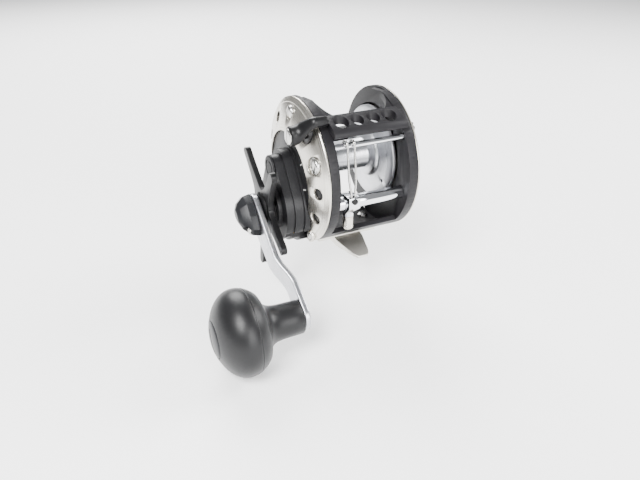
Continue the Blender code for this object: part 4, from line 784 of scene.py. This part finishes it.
    def caps(self) -> None:
        """Build the caps over the two spool bearings."""
        near = [(-41.3, 0.0), (-41.3, 3.4), (-41.05, 3.7), (-41.05, 4.3), (-41.3, 4.6), (-41.3, 6.3),
                (-40.9, 6.8), (-40.5, 6.8), (-40.5, 4.9), (-39.3, 4.9), (-39.3, 0.0)]
        far = [(27.7, 0.0), (27.7, 4.9), (30.3, 4.9), (30.3, 7.1), (33.2, 7.1), (33.9, 6.3), (33.9, 5.4),
               (33.6, 5.1), (33.6, 4.6), (33.9, 4.3), (33.9, 0.0)]
        self.piece("handle_side_bearing_cap", turned(near, SPOOL_AXIS, 96), COVER, "black_cover",
                   "spool_end_cap", edge=Edge(0.18, 3, 40.0))
        self.piece("far_side_bearing_cap", turned(far, SPOOL_AXIS, 96), COVER, "black_cover", "far_end_cap",
                   edge=Edge(0.2, 3, 40.0))

    def index_lines(self) -> None:
        """Build the pale index lines printed on the flat black face."""
        # (y, z) of the middle, length and lean in degrees.
        lines = ((-15.6, 53.8, 2.4, 40.0), (13.9, 51.5, 2.4, -40.0), (4.7, 61.2, 2.4, 80.0),
                 (-15.6, 40.45, 11.6, 20.0))
        for number, (y, z, length, lean) in enumerate(lines, start=1):
            bm = block((-self.face_x - 0.04, -self.face_x + 0.02), (-length / 2, length / 2), (-0.22, 0.22))
            bm.transform(Matrix.Translation((0.0, y, z)) @ Matrix.Rotation(math.radians(-lean), 4, "X"))
            self.piece(f"index_line_{number}", bm, PRINT, "black_cover", edge=Edge(0.0))

    def build(self) -> None:
        """Build both side plates."""
        self.near_cover()
        self.far_cover()
        self.near_ring()
        self.far_ring()
        for number, spec in enumerate(self.near_screws, start=1):
            self.screw(f"handle_side_screw_{number}", f"handle_ring_screw_{number}", -1, spec)
        for number, spec in enumerate(self.far_screws, start=1):
            self.screw(f"far_side_screw_{number}", f"far_ring_screw_{number}", 1, spec)
        self.caps()
        self.index_lines()


# ---------------------------------------------------------------------------
# Crank, star and knob
# ---------------------------------------------------------------------------

@dataclass
class Crank(Maker):
    """The crank arm with its bend, the faceted nut cover and the cover's screw.

    Attributes:
        faces: x of the arm's outer and inner face at the hub.
        step: how far the arm bends back towards the reel.
        bend: where along the arm the bend starts and ends.
        hub: radius of the end on the shaft.
        tip: radius of the end that carries the knob.
    """

    faces: Point = (-52.5, -49.5)
    step: float = 4.5
    bend: Point = (30.0, 47.0)
    hub: float = 8.4
    tip: float = 7.0

    def on_arm(self, bm: bmesh.types.BMesh) -> bmesh.types.BMesh:
        """Move a shape drawn with Y along the arm and Z across it onto the crank, along its bend."""
        span = math.dist(DRIVE_AXIS, KNOB_AXIS)
        dy, dz = (KNOB_AXIS[0] - DRIVE_AXIS[0]) / span, (KNOB_AXIS[1] - DRIVE_AXIS[1]) / span
        for vert in bm.verts:
            x, along, across = vert.co
            share = min(1.0, max(0.0, (along - self.bend[0]) / (self.bend[1] - self.bend[0])))
            vert.co = (x + self.step * share * share * (3.0 - 2.0 * share),
                       DRIVE_AXIS[0] + along * dy - across * dz, DRIVE_AXIS[1] + along * dz + across * dy)
        return bm

    def arm(self) -> None:
        """Build the arm as a tapered bar with rounded edges."""
        span = math.dist(DRIVE_AXIS, KNOB_AXIS)
        sides = [(12.0, 7.7), (18.0, 7.15), (24.0, 6.7), (31.0, 6.5), (38.0, 6.4), (46.0, 6.5)]
        outline = arc((0.0, 0.0), self.hub, 100.0, 260.0, 40) + [(along, -half) for along, half in sides]
        outline += arc((span, 0.0), self.tip, -88.0, 88.0, 40)
        outline += [(along, half) for along, half in reversed(sides)]
        bm = prism(outline, *self.faces)
        rims = [one for one in bm.edges if abs(one.verts[0].co.x - one.verts[1].co.x) < 0.01]
        bmesh.ops.bevel(bm, geom=rims, affect="EDGES", offset=0.75, segments=5, profile=0.5, material=-1)
        for number in range(33):
            along = self.bend[0] - 2.0 + (self.bend[1] - self.bend[0] + 4.0) * number / 32
            bmesh.ops.bisect_plane(bm, geom=bm.verts[:] + bm.edges[:] + bm.faces[:], dist=1e-4,
                                   plane_co=(0.0, along, 0.0), plane_no=(0.0, 1.0, 0.0))
        holes = [disc(-60.0, -40.0, 3.3, DRIVE_AXIS, 48), disc(-60.0, -40.0, 2.7, KNOB_AXIS, 48)]
        self.piece("cranked_arm", self.on_arm(bm), ARM, "polished_aluminium", "crank_arm", cut=holes,
                   edge=Edge(0.0), sharp=50.0)

    def nut_shape(self, shrink: float, lower: float) -> bmesh.types.BMesh:
        """Stacked many-sided outlines that make the nut cover's facets.

        Args:
            shrink: how much narrower than the cover it is, in mm.
            lower: how much lower it is, in mm.

        Returns:
            The closed shape.
        """
        outline = ((-9.2, 0.0), (-6.6, 5.6), (0.0, 7.4), (7.0, 6.0), (13.6, 3.0), (15.4, 0.0), (13.6, -3.0),
                   (7.0, -6.0), (0.0, -7.4), (-6.6, -5.6))
        middle = 1.36
        sections = []
        for height, scale in ((0.0, 1.0), (-3.6, 0.93), (-7.2, 0.62), (-8.8, 0.30)):
            depth = height * (1.0 - lower / 8.8) + self.faces[0] - 0.3
            wide = scale * (1.0 - shrink / 7.4)
            sections.append([Vector((depth, middle + (along - middle) * wide, across * wide))
                             for along, across in outline])
        return self.on_arm(lofted(sections))

    def nut_cover(self) -> None:
        """Build the faceted cover over the crank's nut, and its screw in a round recess."""
        inner = self.nut_shape(1.5, 1.6)
        bmesh.ops.translate(inner, verts=inner.verts, vec=(0.6, 0.0, 0.0))
        seat, along = -57.0, 11.2
        cuts = [inner, self.on_arm(disc(-70.0, seat, 2.5, (along, 0.0), 48)),
                self.on_arm(disc(-60.0, -50.0, 1.3, (along, 0.0), 32))]
        self.piece("faceted_nut_cover", self.nut_shape(0.0, 0.0), CAP, "cap_grey", "nut_cover", cut=cuts,
                   edge=Edge(0.35, 3, 12.0))
        head = [(seat - 1.4, 0.0), (seat - 1.35, 0.7), (seat - 1.2, 1.3), (seat - 0.8, 2.1),
                (seat - 0.3, 2.1), (seat - 0.3, 1.0), (-53.1, 1.0), (-53.1, 0.0)]
        cross = [self.on_arm(block((seat - 3.0, seat - 0.9), (along - a, along + a), (-b, b)))
                 for a, b in ((1.3, 0.25), (0.25, 1.3))]
        self.piece("nut_cover_fixing", self.on_arm(turned(head, (along, 0.0), 48)), STAINLESS, "stainless",
                   "nut_cover_screw", cut=cross, edge=Edge(0.06, 2, 40.0))

    def build(self) -> None:
        """Build the crank's visible pieces."""
        self.arm()
        self.nut_cover()


@dataclass
class StarWheel(Maker):
    """The five-armed star that sets the drag.

    Attributes:
        arms: number of arms.
        reach: radius of the arms' tips.
        faces: x of the arms' outer and inner face.
        hub: x of the hub's outer and inner face.
        lean: how far the arms lean out for each mm beyond the hub.
        phase: direction of the first arm, in degrees.
    """

    arms: int = 5
    reach: float = 33.0
    faces: Point = (-47.3, -44.4)
    hub: Point = (-48.7, -43.0)
    lean: float = 0.075
    phase: float = 55.2

    def outline(self) -> list[Point]:
        """Outline of tapered arms with round tips, joined by rounded valleys."""
        tip, valley = 2.5, 10.6
        flank = ((8.9, 6.25), (9.5, 5.6), (11.0, 4.75), (13.0, 4.1), (16.0, 3.55), (19.0, 3.1), (25.0, 2.6))
        local = [(valley * math.cos(math.pi / self.arms), -valley * math.sin(math.pi / self.arms))]
        local += [(along, -across) for along, across in flank]
        local += arc((self.reach - tip, 0.0), tip, -90.0, 90.0, 20)
        local += [(along, across) for along, across in reversed(flank)]
        points = []
        for number in range(self.arms):
            turn = Matrix.Rotation(math.radians(self.phase) + math.tau * number / self.arms, 2)
            for place in local:
                moved = turn @ Vector(place)
                points.append((DRIVE_AXIS[0] + moved.x, DRIVE_AXIS[1] + moved.y))
        return points

    def build(self) -> None:
        """Build the star with fully rounded arms."""
        bm = prism(self.outline(), *self.faces)
        for radius in (14.0, 20.0, 26.0):
            for number in range(self.arms):
                turn = math.radians(self.phase) + math.tau * number / self.arms
                way = Vector((0.0, math.cos(turn), math.sin(turn)))
                # The faces of this arm, and the two large faces that all arms share.
                near = [face for face in bm.faces
                        if (face.calc_center_median() - Vector((0.0, *DRIVE_AXIS))).dot(way) > 5.0 or
                        len(face.verts) > 8]
                geometry = set(near)
                for face in near:
                    geometry.update(face.verts)
                    geometry.update(face.edges)
                bmesh.ops.bisect_plane(bm, geom=list(geometry), dist=1e-4,
                                       plane_co=Vector((0.0, *DRIVE_AXIS)) + way * radius, plane_no=way)
        for vert in bm.verts:
            out = math.hypot(vert.co.y - DRIVE_AXIS[0], vert.co.z - DRIVE_AXIS[1])
            vert.co.x -= self.lean * max(0.0, out - 14.0)
        hub = [(self.hub[0], 0.0), (self.hub[0], 7.4), (self.hub[0] + 0.5, 8.2), (self.hub[0] + 1.0, 8.6),
               (self.hub[1], 8.6), (self.hub[1], 0.0)]
        bore = disc(-55.0, -40.0, 3.35, DRIVE_AXIS, 48)
        self.piece("drag_star", bm, ACETAL, "black_plastic", "star_wheel", add=[turned(hub, DRIVE_AXIS, 96)],
                   cut=[bore], edge=Edge(0.75, 4, 42.0))


@dataclass
class HandleKnob(Maker):
    """The soft-touch knob and its slotted cap.

    Attributes:
        stem_x: the end of the stem, against the arm.
        centre_x: the middle of the ball.
        radius: radius of the ball across its axis.
        halves: length of the ball's inner and outer half.
        recess_x: bottom of the cap's recess.
        cap_radius: radius of the cap.
    """

    stem_x: float = -48.4
    centre_x: float = -78.0
    radius: float = 21.0
    halves: Point = (15.4, 14.0)
    recess_x: float = -89.8
    cap_radius: float = 8.7

    def ball(self, degrees: float) -> Point:
        """Place on the ball's outline, 0 towards the reel and 90 at its widest."""
        angle = math.radians(degrees)
        half = self.halves[0] if degrees < 90.0 else self.halves[1]
        return (self.centre_x + half * math.cos(angle), self.radius * math.sin(angle))

    def profile(self) -> list[Point]:
        """Half section of the knob: stem, ball with a moulding seam, cap recess and bore."""
        points = [(self.stem_x, 7.7), (self.stem_x - 0.15, 8.1), (self.stem_x - 0.5, 8.3), (-54.0, 8.4),
                  (-58.0, 8.45), (-60.5, 8.6), (-62.5, 8.95), (-64.2, 9.6), (-65.6, 10.6), (-66.6, 12.0),
                  (-67.3, 13.6), (-67.8, 15.0)]
        points += [self.ball(turn) for turn in (52.0, 57.0, 62.0, 66.0, 70.0, 73.0)]
        seam_x, seam_r = self.ball(75.5)
        points += [(seam_x + 0.3, seam_r), (seam_x + 0.15, seam_r - 0.16), (seam_x - 0.15, seam_r - 0.13),
                   (seam_x - 0.3, seam_r + 0.05)]
        points += [self.ball(turn) for turn in (78.0, 81.0, 84.0, 87.0, 90.0)]
        points += [self.ball(float(turn)) for turn in range(94, 146, 4)] + [self.ball(146.0)]
        rim = self.cap_radius + 0.3
        return points + [(self.recess_x - 0.9, rim + 0.25), (self.recess_x - 0.7, rim), (self.recess_x, rim),
                         (self.recess_x, 3.4), (-86.6, 3.4), (-86.6, 2.7), (self.stem_x, 2.7)]

    def build(self) -> None:
        """Build the knob and its cap."""
        self.piece("soft_touch_knob", turned(self.profile(), KNOB_AXIS, FINE), SOFT, "soft_grip", "knob",
                   edge=Edge(0.12, 2, 55.0), sharp=60.0)
        cap = [(-92.1, 0.0), (-92.08, 1.4), (-91.95, 3.6), (-91.7, 5.6), (-91.35, 7.2), (-91.05, 8.2),
               (-90.7, self.cap_radius), (self.recess_x - 0.3, self.cap_radius), (self.recess_x - 0.3, 0.0)]
        slit = block((-95.0, -91.2), (-5.6, 5.6), (-0.55, 0.55))
        slit.transform(Matrix.Translation((0.0, *KNOB_AXIS)) @ Matrix.Rotation(math.radians(62.0), 4, "X"))
        self.piece("knob_end_cap", turned(cap, KNOB_AXIS, 96), CAP, "cap_grey", "knob_cap", cut=[slit],
                   edge=Edge(0.12, 2, 40.0))


# ---------------------------------------------------------------------------
# Lever
# ---------------------------------------------------------------------------

@dataclass
class FreeSpoolLever(Maker):
    """The lever that frees the spool, a round pivot that leans into a thumb bar.

    Attributes:
        stations: (x, radius, share of the way to the thumb bar) along it.
    """

    stations: tuple[Triple, ...] = (
        (-37.2, 4.3, 0.0), (-37.0, 4.7, 0.0), (-36.6, 4.9, 0.0), (-35.2, 4.85, 0.02), (-33.5, 4.7, 0.10),
        (-32.5, 4.45, 0.25), (-31.6, 4.1, 0.42), (-30.8, 3.7, 0.57), (-30.0, 3.3, 0.72), (-29.3, 3.05, 0.84),
        (-28.6, 2.9, 0.92), (-27.6, 2.75, 0.98), (-26.5, 2.6, 1.0), (-24.0, 2.5, 1.0), (-21.8, 2.35, 1.0),
        (-21.2, 2.3, 1.0), (-20.8, 2.05, 1.0), (-20.6, 1.7, 1.0))

    def build(self) -> None:
        """Build the lever and the slotted screw in its end."""
        sections = []
        for x, radius, share in self.stations:
            middle = tuple(start + (end - start) * share for start, end in zip(LEVER_AXIS, LEVER_BAR))
            sections.append([Vector((x, y, z)) for y, z in arc(middle, radius, 0.0, 360.0, 56)[:-1]])
        self.piece("free_spool_lever", lofted(sections), ACETAL, "black_plastic", "clutch_lever",
                   add=[disc(-33.0, -27.0, 2.1, LEVER_AXIS, 48)],
                   cut=[disc(-40.0, -33.0, 1.5, LEVER_AXIS, 32)],
                   edge=Edge(0.15, 2, 50.0), sharp=50.0)
        screw = [(-38.4, 0.0), (-38.38, 1.5), (-38.25, 2.7), (-38.0, 3.6), (-37.8, 3.9), (-37.5, 3.9),
                 (-37.5, 1.2), (-33.4, 1.2), (-33.4, 0.0)]
        slot = block((-40.0, -37.9), (LEVER_AXIS[0] - 0.5, LEVER_AXIS[0] + 0.5), (60.0, 80.0))
        self.piece("lever_fixing", turned(screw, LEVER_AXIS, 64), STAINLESS, "stainless", "lever_screw",
                   cut=[slot], edge=Edge(0.08, 2, 40.0))


# ---------------------------------------------------------------------------
# Spool and level wind
# ---------------------------------------------------------------------------

@dataclass
class Spool(Maker):
    """The turned spool.

    Attributes:
        flange: radius of its flanges.
        arbor: radius the line is wound on.
        half: half its width.
    """

    flange: float = 25.0
    arbor: float = 8.0
    half: float = 18.7

    def build(self) -> None:
        """Build the spool with its hub cones and balance holes."""
        inner = [(17.1, self.flange), (16.9, self.flange - 0.5), (16.6, 23.6), (16.1, 19.0), (15.6, 14.0),
                 (15.1, 13.0), (13.9, 12.4), (13.4, 11.6), (12.8, 9.6), (12.2, self.arbor)]
        outer = [(self.half, self.flange), (self.half, 23.2), (17.4, 22.4), (17.0, 7.0), (17.8, 5.2),
                 (17.8, 1.8)]
        profile = [(-x, reach) for x, reach in reversed(outer)] + [(-x, reach) for x, reach in inner]
        profile += list(reversed(inner)) + outer
        holes = [disc(10.0, 20.0, 1.1, around(SPOOL_AXIS, 19.5, turn), 32) for turn in (-35.0, 85.0, 205.0)]
        self.piece("turned_spool", turned(profile, SPOOL_AXIS, 160), SPOOL, "spool_aluminium", "spool",
                   cut=holes, edge=Edge(0.14, 2, 40.0))


@dataclass
class LevelWindGuides(Maker):
    """The guide bar and the slotted tube that the carriage runs on.

    Attributes:
        bar_radius: radius of the bar.
        tube: inner and outer radius of the tube.
    """

    bar_radius: float = 1.5
    tube: Point = (2.75, 3.4)

    def build(self) -> None:
        """Build the bar and the tube."""
        thick, chamfer = self.bar_radius, 0.15
        end = [(20.9 - chamfer, thick), (20.9, thick - chamfer), (20.9, 0.0)]
        bar = [(-x, reach) for x, reach in reversed(end)] + end
        self.piece("polished_guide_bar", turned(bar, GUIDE_BAR_AXIS, 64), CHROME, "chrome", "guide_bar",
                   edge=Edge(0.0))
        inner, outer = self.tube
        ring = [(-18.9, inner), (-18.9, outer), (18.9, outer), (18.9, inner)]
        wy, wz = WORM_AXIS
        slot = block((-16.6, 16.6), (wy - 1.2, wy + 1.2), (wz - 6.0, wz))
        self.piece("slotted_worm_tube", turned(ring, WORM_AXIS, 96), CHROME, "chrome", "worm_tube",
                   cut=[slot], edge=Edge(0.10, 2, 40.0))


@dataclass
class Carriage(Maker):
    """The level wind carriage with its wire guide, cap and screw.

    Attributes:
        x: where it stands at rest.
        half: half its width.
        eye: (y, z) of the wire's eye.
        wire: radius of the wire.
    """

    x: float = -11.0
    half: float = 3.0
    eye: Point = (-35.2, 39.0)
    wire: float = 0.55

    def block(self) -> None:
        """Build the carriage's body."""
        outline = [(-36.9, 35.2), (-36.9, 40.2), (-36.7, 40.7), (-36.2, 41.0), (-33.6, 41.0), (-26.6, 40.2),
                   (-25.8, 39.6), (-25.4, 38.6), (-25.4, 33.2), (-27.2, 31.0), (-33.0, 31.0)]
        low, high = self.x - self.half, self.x + self.half
        wy, wz = WORM_AXIS
        neck = upright([(28.9, 0.0), (28.9, 2.9), (33.4, 2.9), (33.4, 0.0)], self.x, wy)
        ey, ez = self.eye
        bore = lying([(-40.0, 0.0), (-40.0, 0.85), (ey, 0.85), (ey, 0.0)], self.x, ez)
        cuts = [disc(low - 2.0, high + 2.0, 3.7, WORM_AXIS, 64),
                upright([(20.0, 0.0), (20.0, 1.9), (wz, 1.9), (wz, 0.0)], self.x, wy),
                block((low + 0.6, high - 0.6), (ey - 0.85, ey + 0.85), (ez - 2.4, 45.0)),
                bore]
        self.piece("level_wind_block", prism(outline, low, high), CHROME, "chrome", "carriage", add=[neck],
                   cut=cuts, edge=Edge(0.28, 3, 34.0))

    def path(self) -> list[Triple]:
        """Route of the wire: over the bar, down, round the eye and back."""
        hook = LevelWindGuides.bar_radius + ROOM + self.wire
        left = self.x - 1.9
        half = [(left, *point) for point in arc(GUIDE_BAR_AXIS, hook, -15.0, 170.0, 18)]
        half += [(left, -32.0, 61.0), (left, -32.4, 58.2), (left, -32.9, 55.5), (self.x - 1.88, -33.4, 52.2),
                 (self.x - 1.8, -33.9, 49.0), (self.x - 1.5, -34.35, 46.2), (self.x - 1.1, -34.7, 43.6),
                 (self.x - 0.95, -35.1, 41.2), (self.x - 1.1, -35.18, 40.3)]
        y, z = self.eye
        loop = 1.5
        for turn in range(160, 270, 15):
            angle = math.radians(turn)
            half.append((self.x + loop * math.cos(angle), y, z + loop * math.sin(angle)))
        other = [(2 * self.x - x, y, z) for x, y, z in reversed(half)]
        return half + [(self.x, y, z - loop)] + other

    def wire_guide(self) -> None:
        """Build the bent wire that leads the line."""
        curve = bpy.data.curves.new("wire_route", "CURVE")
        curve.dimensions = "3D"
        curve.bevel_depth = self.wire * MM
        curve.bevel_resolution = 6
        curve.use_fill_caps = True
        spline = curve.splines.new("POLY")
        path = self.path()
        spline.points.add(len(path) - 1)
        for point, where in zip(spline.points, path):
            point.co = (*(Vector(where) * MM), 1.0)
        source = bpy.data.objects.new("wire_route", curve)
        bpy.context.collection.objects.link(source)
        graph = bpy.context.evaluated_depsgraph_get()
        bm = bmesh.new()
        mesh = bpy.data.meshes.new_from_object(source.evaluated_get(graph))
        bm.from_mesh(mesh)
        bpy.data.meshes.remove(mesh)
        bpy.data.objects.remove(source, do_unlink=True)
        bpy.data.curves.remove(curve)
        bm.transform(Matrix.Scale(1.0 / MM, 4))
        bmesh.ops.remove_doubles(bm, verts=bm.verts, dist=1e-3)
        self.piece("wire_line_guide", bm, STAINLESS, "stainless", "line_guide", edge=Edge(0.0), sharp=60.0)

    def build(self) -> None:
        """Build the carriage's visible pieces."""
        self.block()
        self.wire_guide()
        cap = [(20.9, 0.0), (20.93, 0.8), (21.1, 1.6), (21.45, 2.2), (21.9, 2.55), (22.5, 2.7), (23.4, 2.7),
               (23.5, 2.58), (23.7, 2.58), (23.8, 2.7), (28.6, 2.7), (28.6, 0.0)]
        wy = WORM_AXIS[0]
        slit = block((self.x - 2.0, self.x + 2.0), (wy - 0.4, wy + 0.4), (20.0, 21.6))
        self.piece("pawl_end_cap", upright(cap, self.x, wy, 64), TRIM, "satin_silver", "pawl_cap",
                   cut=[slit], edge=Edge(0.12, 2, 40.0))
        screw = [(-38.0, 0.0), (-37.95, 0.6), (-37.8, 1.2), (-37.6, 1.5), (-37.2, 1.5), (-37.2, 0.5),
                 (-34.5, 0.5), (-34.5, 0.0)]
        self.piece("line_guide_fixing", lying(screw, self.x, self.eye[1]), ACETAL, "black_plastic",
                   "carriage_screw", edge=Edge(0.06, 2, 40.0))


@dataclass
class Clicker(Maker):
    """The clicker's ribbed button on the far side.

    Attributes:
        place: (y, z) of the button at rest.
    """

    place: Point = (0.0, 33.0)

    def build(self) -> None:
        """Build the button with its thumb ribs."""
        y, z = self.place
        add = [block((31.0, 33.6), (y - 2.6, y + 2.6), (z - 3.4, z + 3.4)),
               block((27.9, 31.0), (y - 2.0, y + 2.0), (z - 3.0, z + 3.0))]
        grooves = [block((33.1, 34.0), (y - 3.0, y + 3.0), (z + rise - 0.3, z + rise + 0.3))
                   for rise in (-2.0, -0.7, 0.7, 2.0)]
        self.piece("clicker_slider", block((30.3, 31.4), (y - 4.2, y + 4.2), (z - 5.0, z + 5.0)), ACETAL,
                   "black_plastic", "clicker_button", add=add, cut=grooves, edge=Edge(0.2, 3, 40.0))


# ---------------------------------------------------------------------------
# Studio
# ---------------------------------------------------------------------------

@dataclass(frozen=True)
class Studio:
    """Floor, soft lights and camera.

    Attributes:
        azimuth: camera's angle round the reel, in degrees.
        elevation: its angle above the horizon.
        distance: its distance from the target, in mm.
        target: the place it looks at, in mm.
        lens: focal length for a 36 mm sensor.
    """

    azimuth: float = -25.05
    elevation: float = 29.5
    distance: float = 341.0
    target: Triple = (-12.6, 0.0, -0.9)
    lens: float = 33.75

    def floor(self, height: float) -> None:
        """Lay a pale floor at a height in metres."""
        bm = bmesh.new()
        bmesh.ops.create_grid(bm, x_segments=24, y_segments=24, size=3.0)
        bmesh.ops.translate(bm, verts=bm.verts, vec=(0.0, 0.0, height))
        mesh = bpy.data.meshes.new("floor")
        bm.to_mesh(mesh)
        bm.free()
        item = bpy.data.objects.new("floor", mesh)
        bpy.context.collection.objects.link(item)
        made = bpy.data.materials.new("pale_floor")
        made.use_nodes = True
        shader = made.node_tree.nodes["Principled BSDF"]
        shader.inputs["Base Color"].default_value = linear("FFFFFF")
        shader.inputs["Roughness"].default_value = 0.9
        shader.inputs["Specular IOR Level"].default_value = 0.1
        item.data.materials.append(made)

    def light(self, name: str, place: Triple, size: float, power: float) -> None:
        """Hang a soft square light that faces the reel.

        Args:
            name: the light's name.
            place: where it hangs, in metres.
            size: its side, in metres.
            power: its power in watts.
        """
        data = bpy.data.lights.new(name, "AREA")
        data.size = size
        data.energy = power
        item = bpy.data.objects.new(name, data)
        item.location = place
        item.rotation_euler = (Vector(place) - Vector((0.0, 0.0, 0.03))).to_track_quat("Z", "Y").to_euler()
        bpy.context.collection.objects.link(item)

    def camera(self) -> None:
        """Place the camera."""
        turn, rise = math.radians(self.azimuth), math.radians(self.elevation)
        back = Vector((math.sin(turn) * math.cos(rise), -math.cos(turn) * math.cos(rise), math.sin(rise)))
        data = bpy.data.cameras.new("camera")
        data.lens = self.lens
        data.sensor_width = 36.0
        data.clip_start = 0.01
        item = bpy.data.objects.new("camera", data)
        item.location = (Vector(self.target) + back * self.distance) * MM
        item.rotation_euler = back.to_track_quat("Z", "Y").to_euler()
        bpy.context.collection.objects.link(item)
        bpy.context.scene.camera = item

    def build(self, lowest: float) -> None:
        """Set up the studio on a floor at the lowest height of the reel."""
        self.floor(lowest)
        self.light("key", (-0.55, -0.45, 0.75), 0.45, 26.0)
        self.light("front", (0.10, -0.95, 0.35), 0.60, 14.0)
        self.light("side", (0.85, -0.10, 0.55), 0.50, 14.0)
        self.light("rear", (0.05, 0.85, 0.75), 0.70, 26.0)
        world = bpy.data.worlds.new("soft_world")
        world.use_nodes = True
        world.node_tree.nodes["Background"].inputs[0].default_value = linear("F7F8FA")
        world.node_tree.nodes["Background"].inputs[1].default_value = 0.42
        bpy.context.scene.world = world
        self.camera()


def dress_frame_nodes() -> None:
    """Give every carried-over node the finish of its material slot."""
    for name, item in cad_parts.items():
        for place, slot in enumerate(item.material_slots):
            if slot.material and slot.material.name in BY_SLOT:
                item.material_slots[place].material = BY_SLOT[slot.material.name].build()
        LOG.info("dressed %s", name)


def main() -> None:
    """Build the whole reel, then the studio round it."""
    logging.basicConfig(level=logging.INFO, format="%(name)s: %(message)s")
    dress_frame_nodes()
    ReelFrame("reel_body").build()
    RodFoot("reel_body").build()
    SidePlates("reel_body").build()
    Crank("crank").build()
    StarWheel("star_drag").build()
    HandleKnob("handle_knob").build()
    FreeSpoolLever("lever").build()
    Spool("line_spool").build()
    LevelWindGuides("reel_body").build()
    Carriage("wind_carriage").build()
    Clicker("clicker").build()
    Studio().build(CAD_BOX[0][2])


if __name__ == "__main__":
    main()
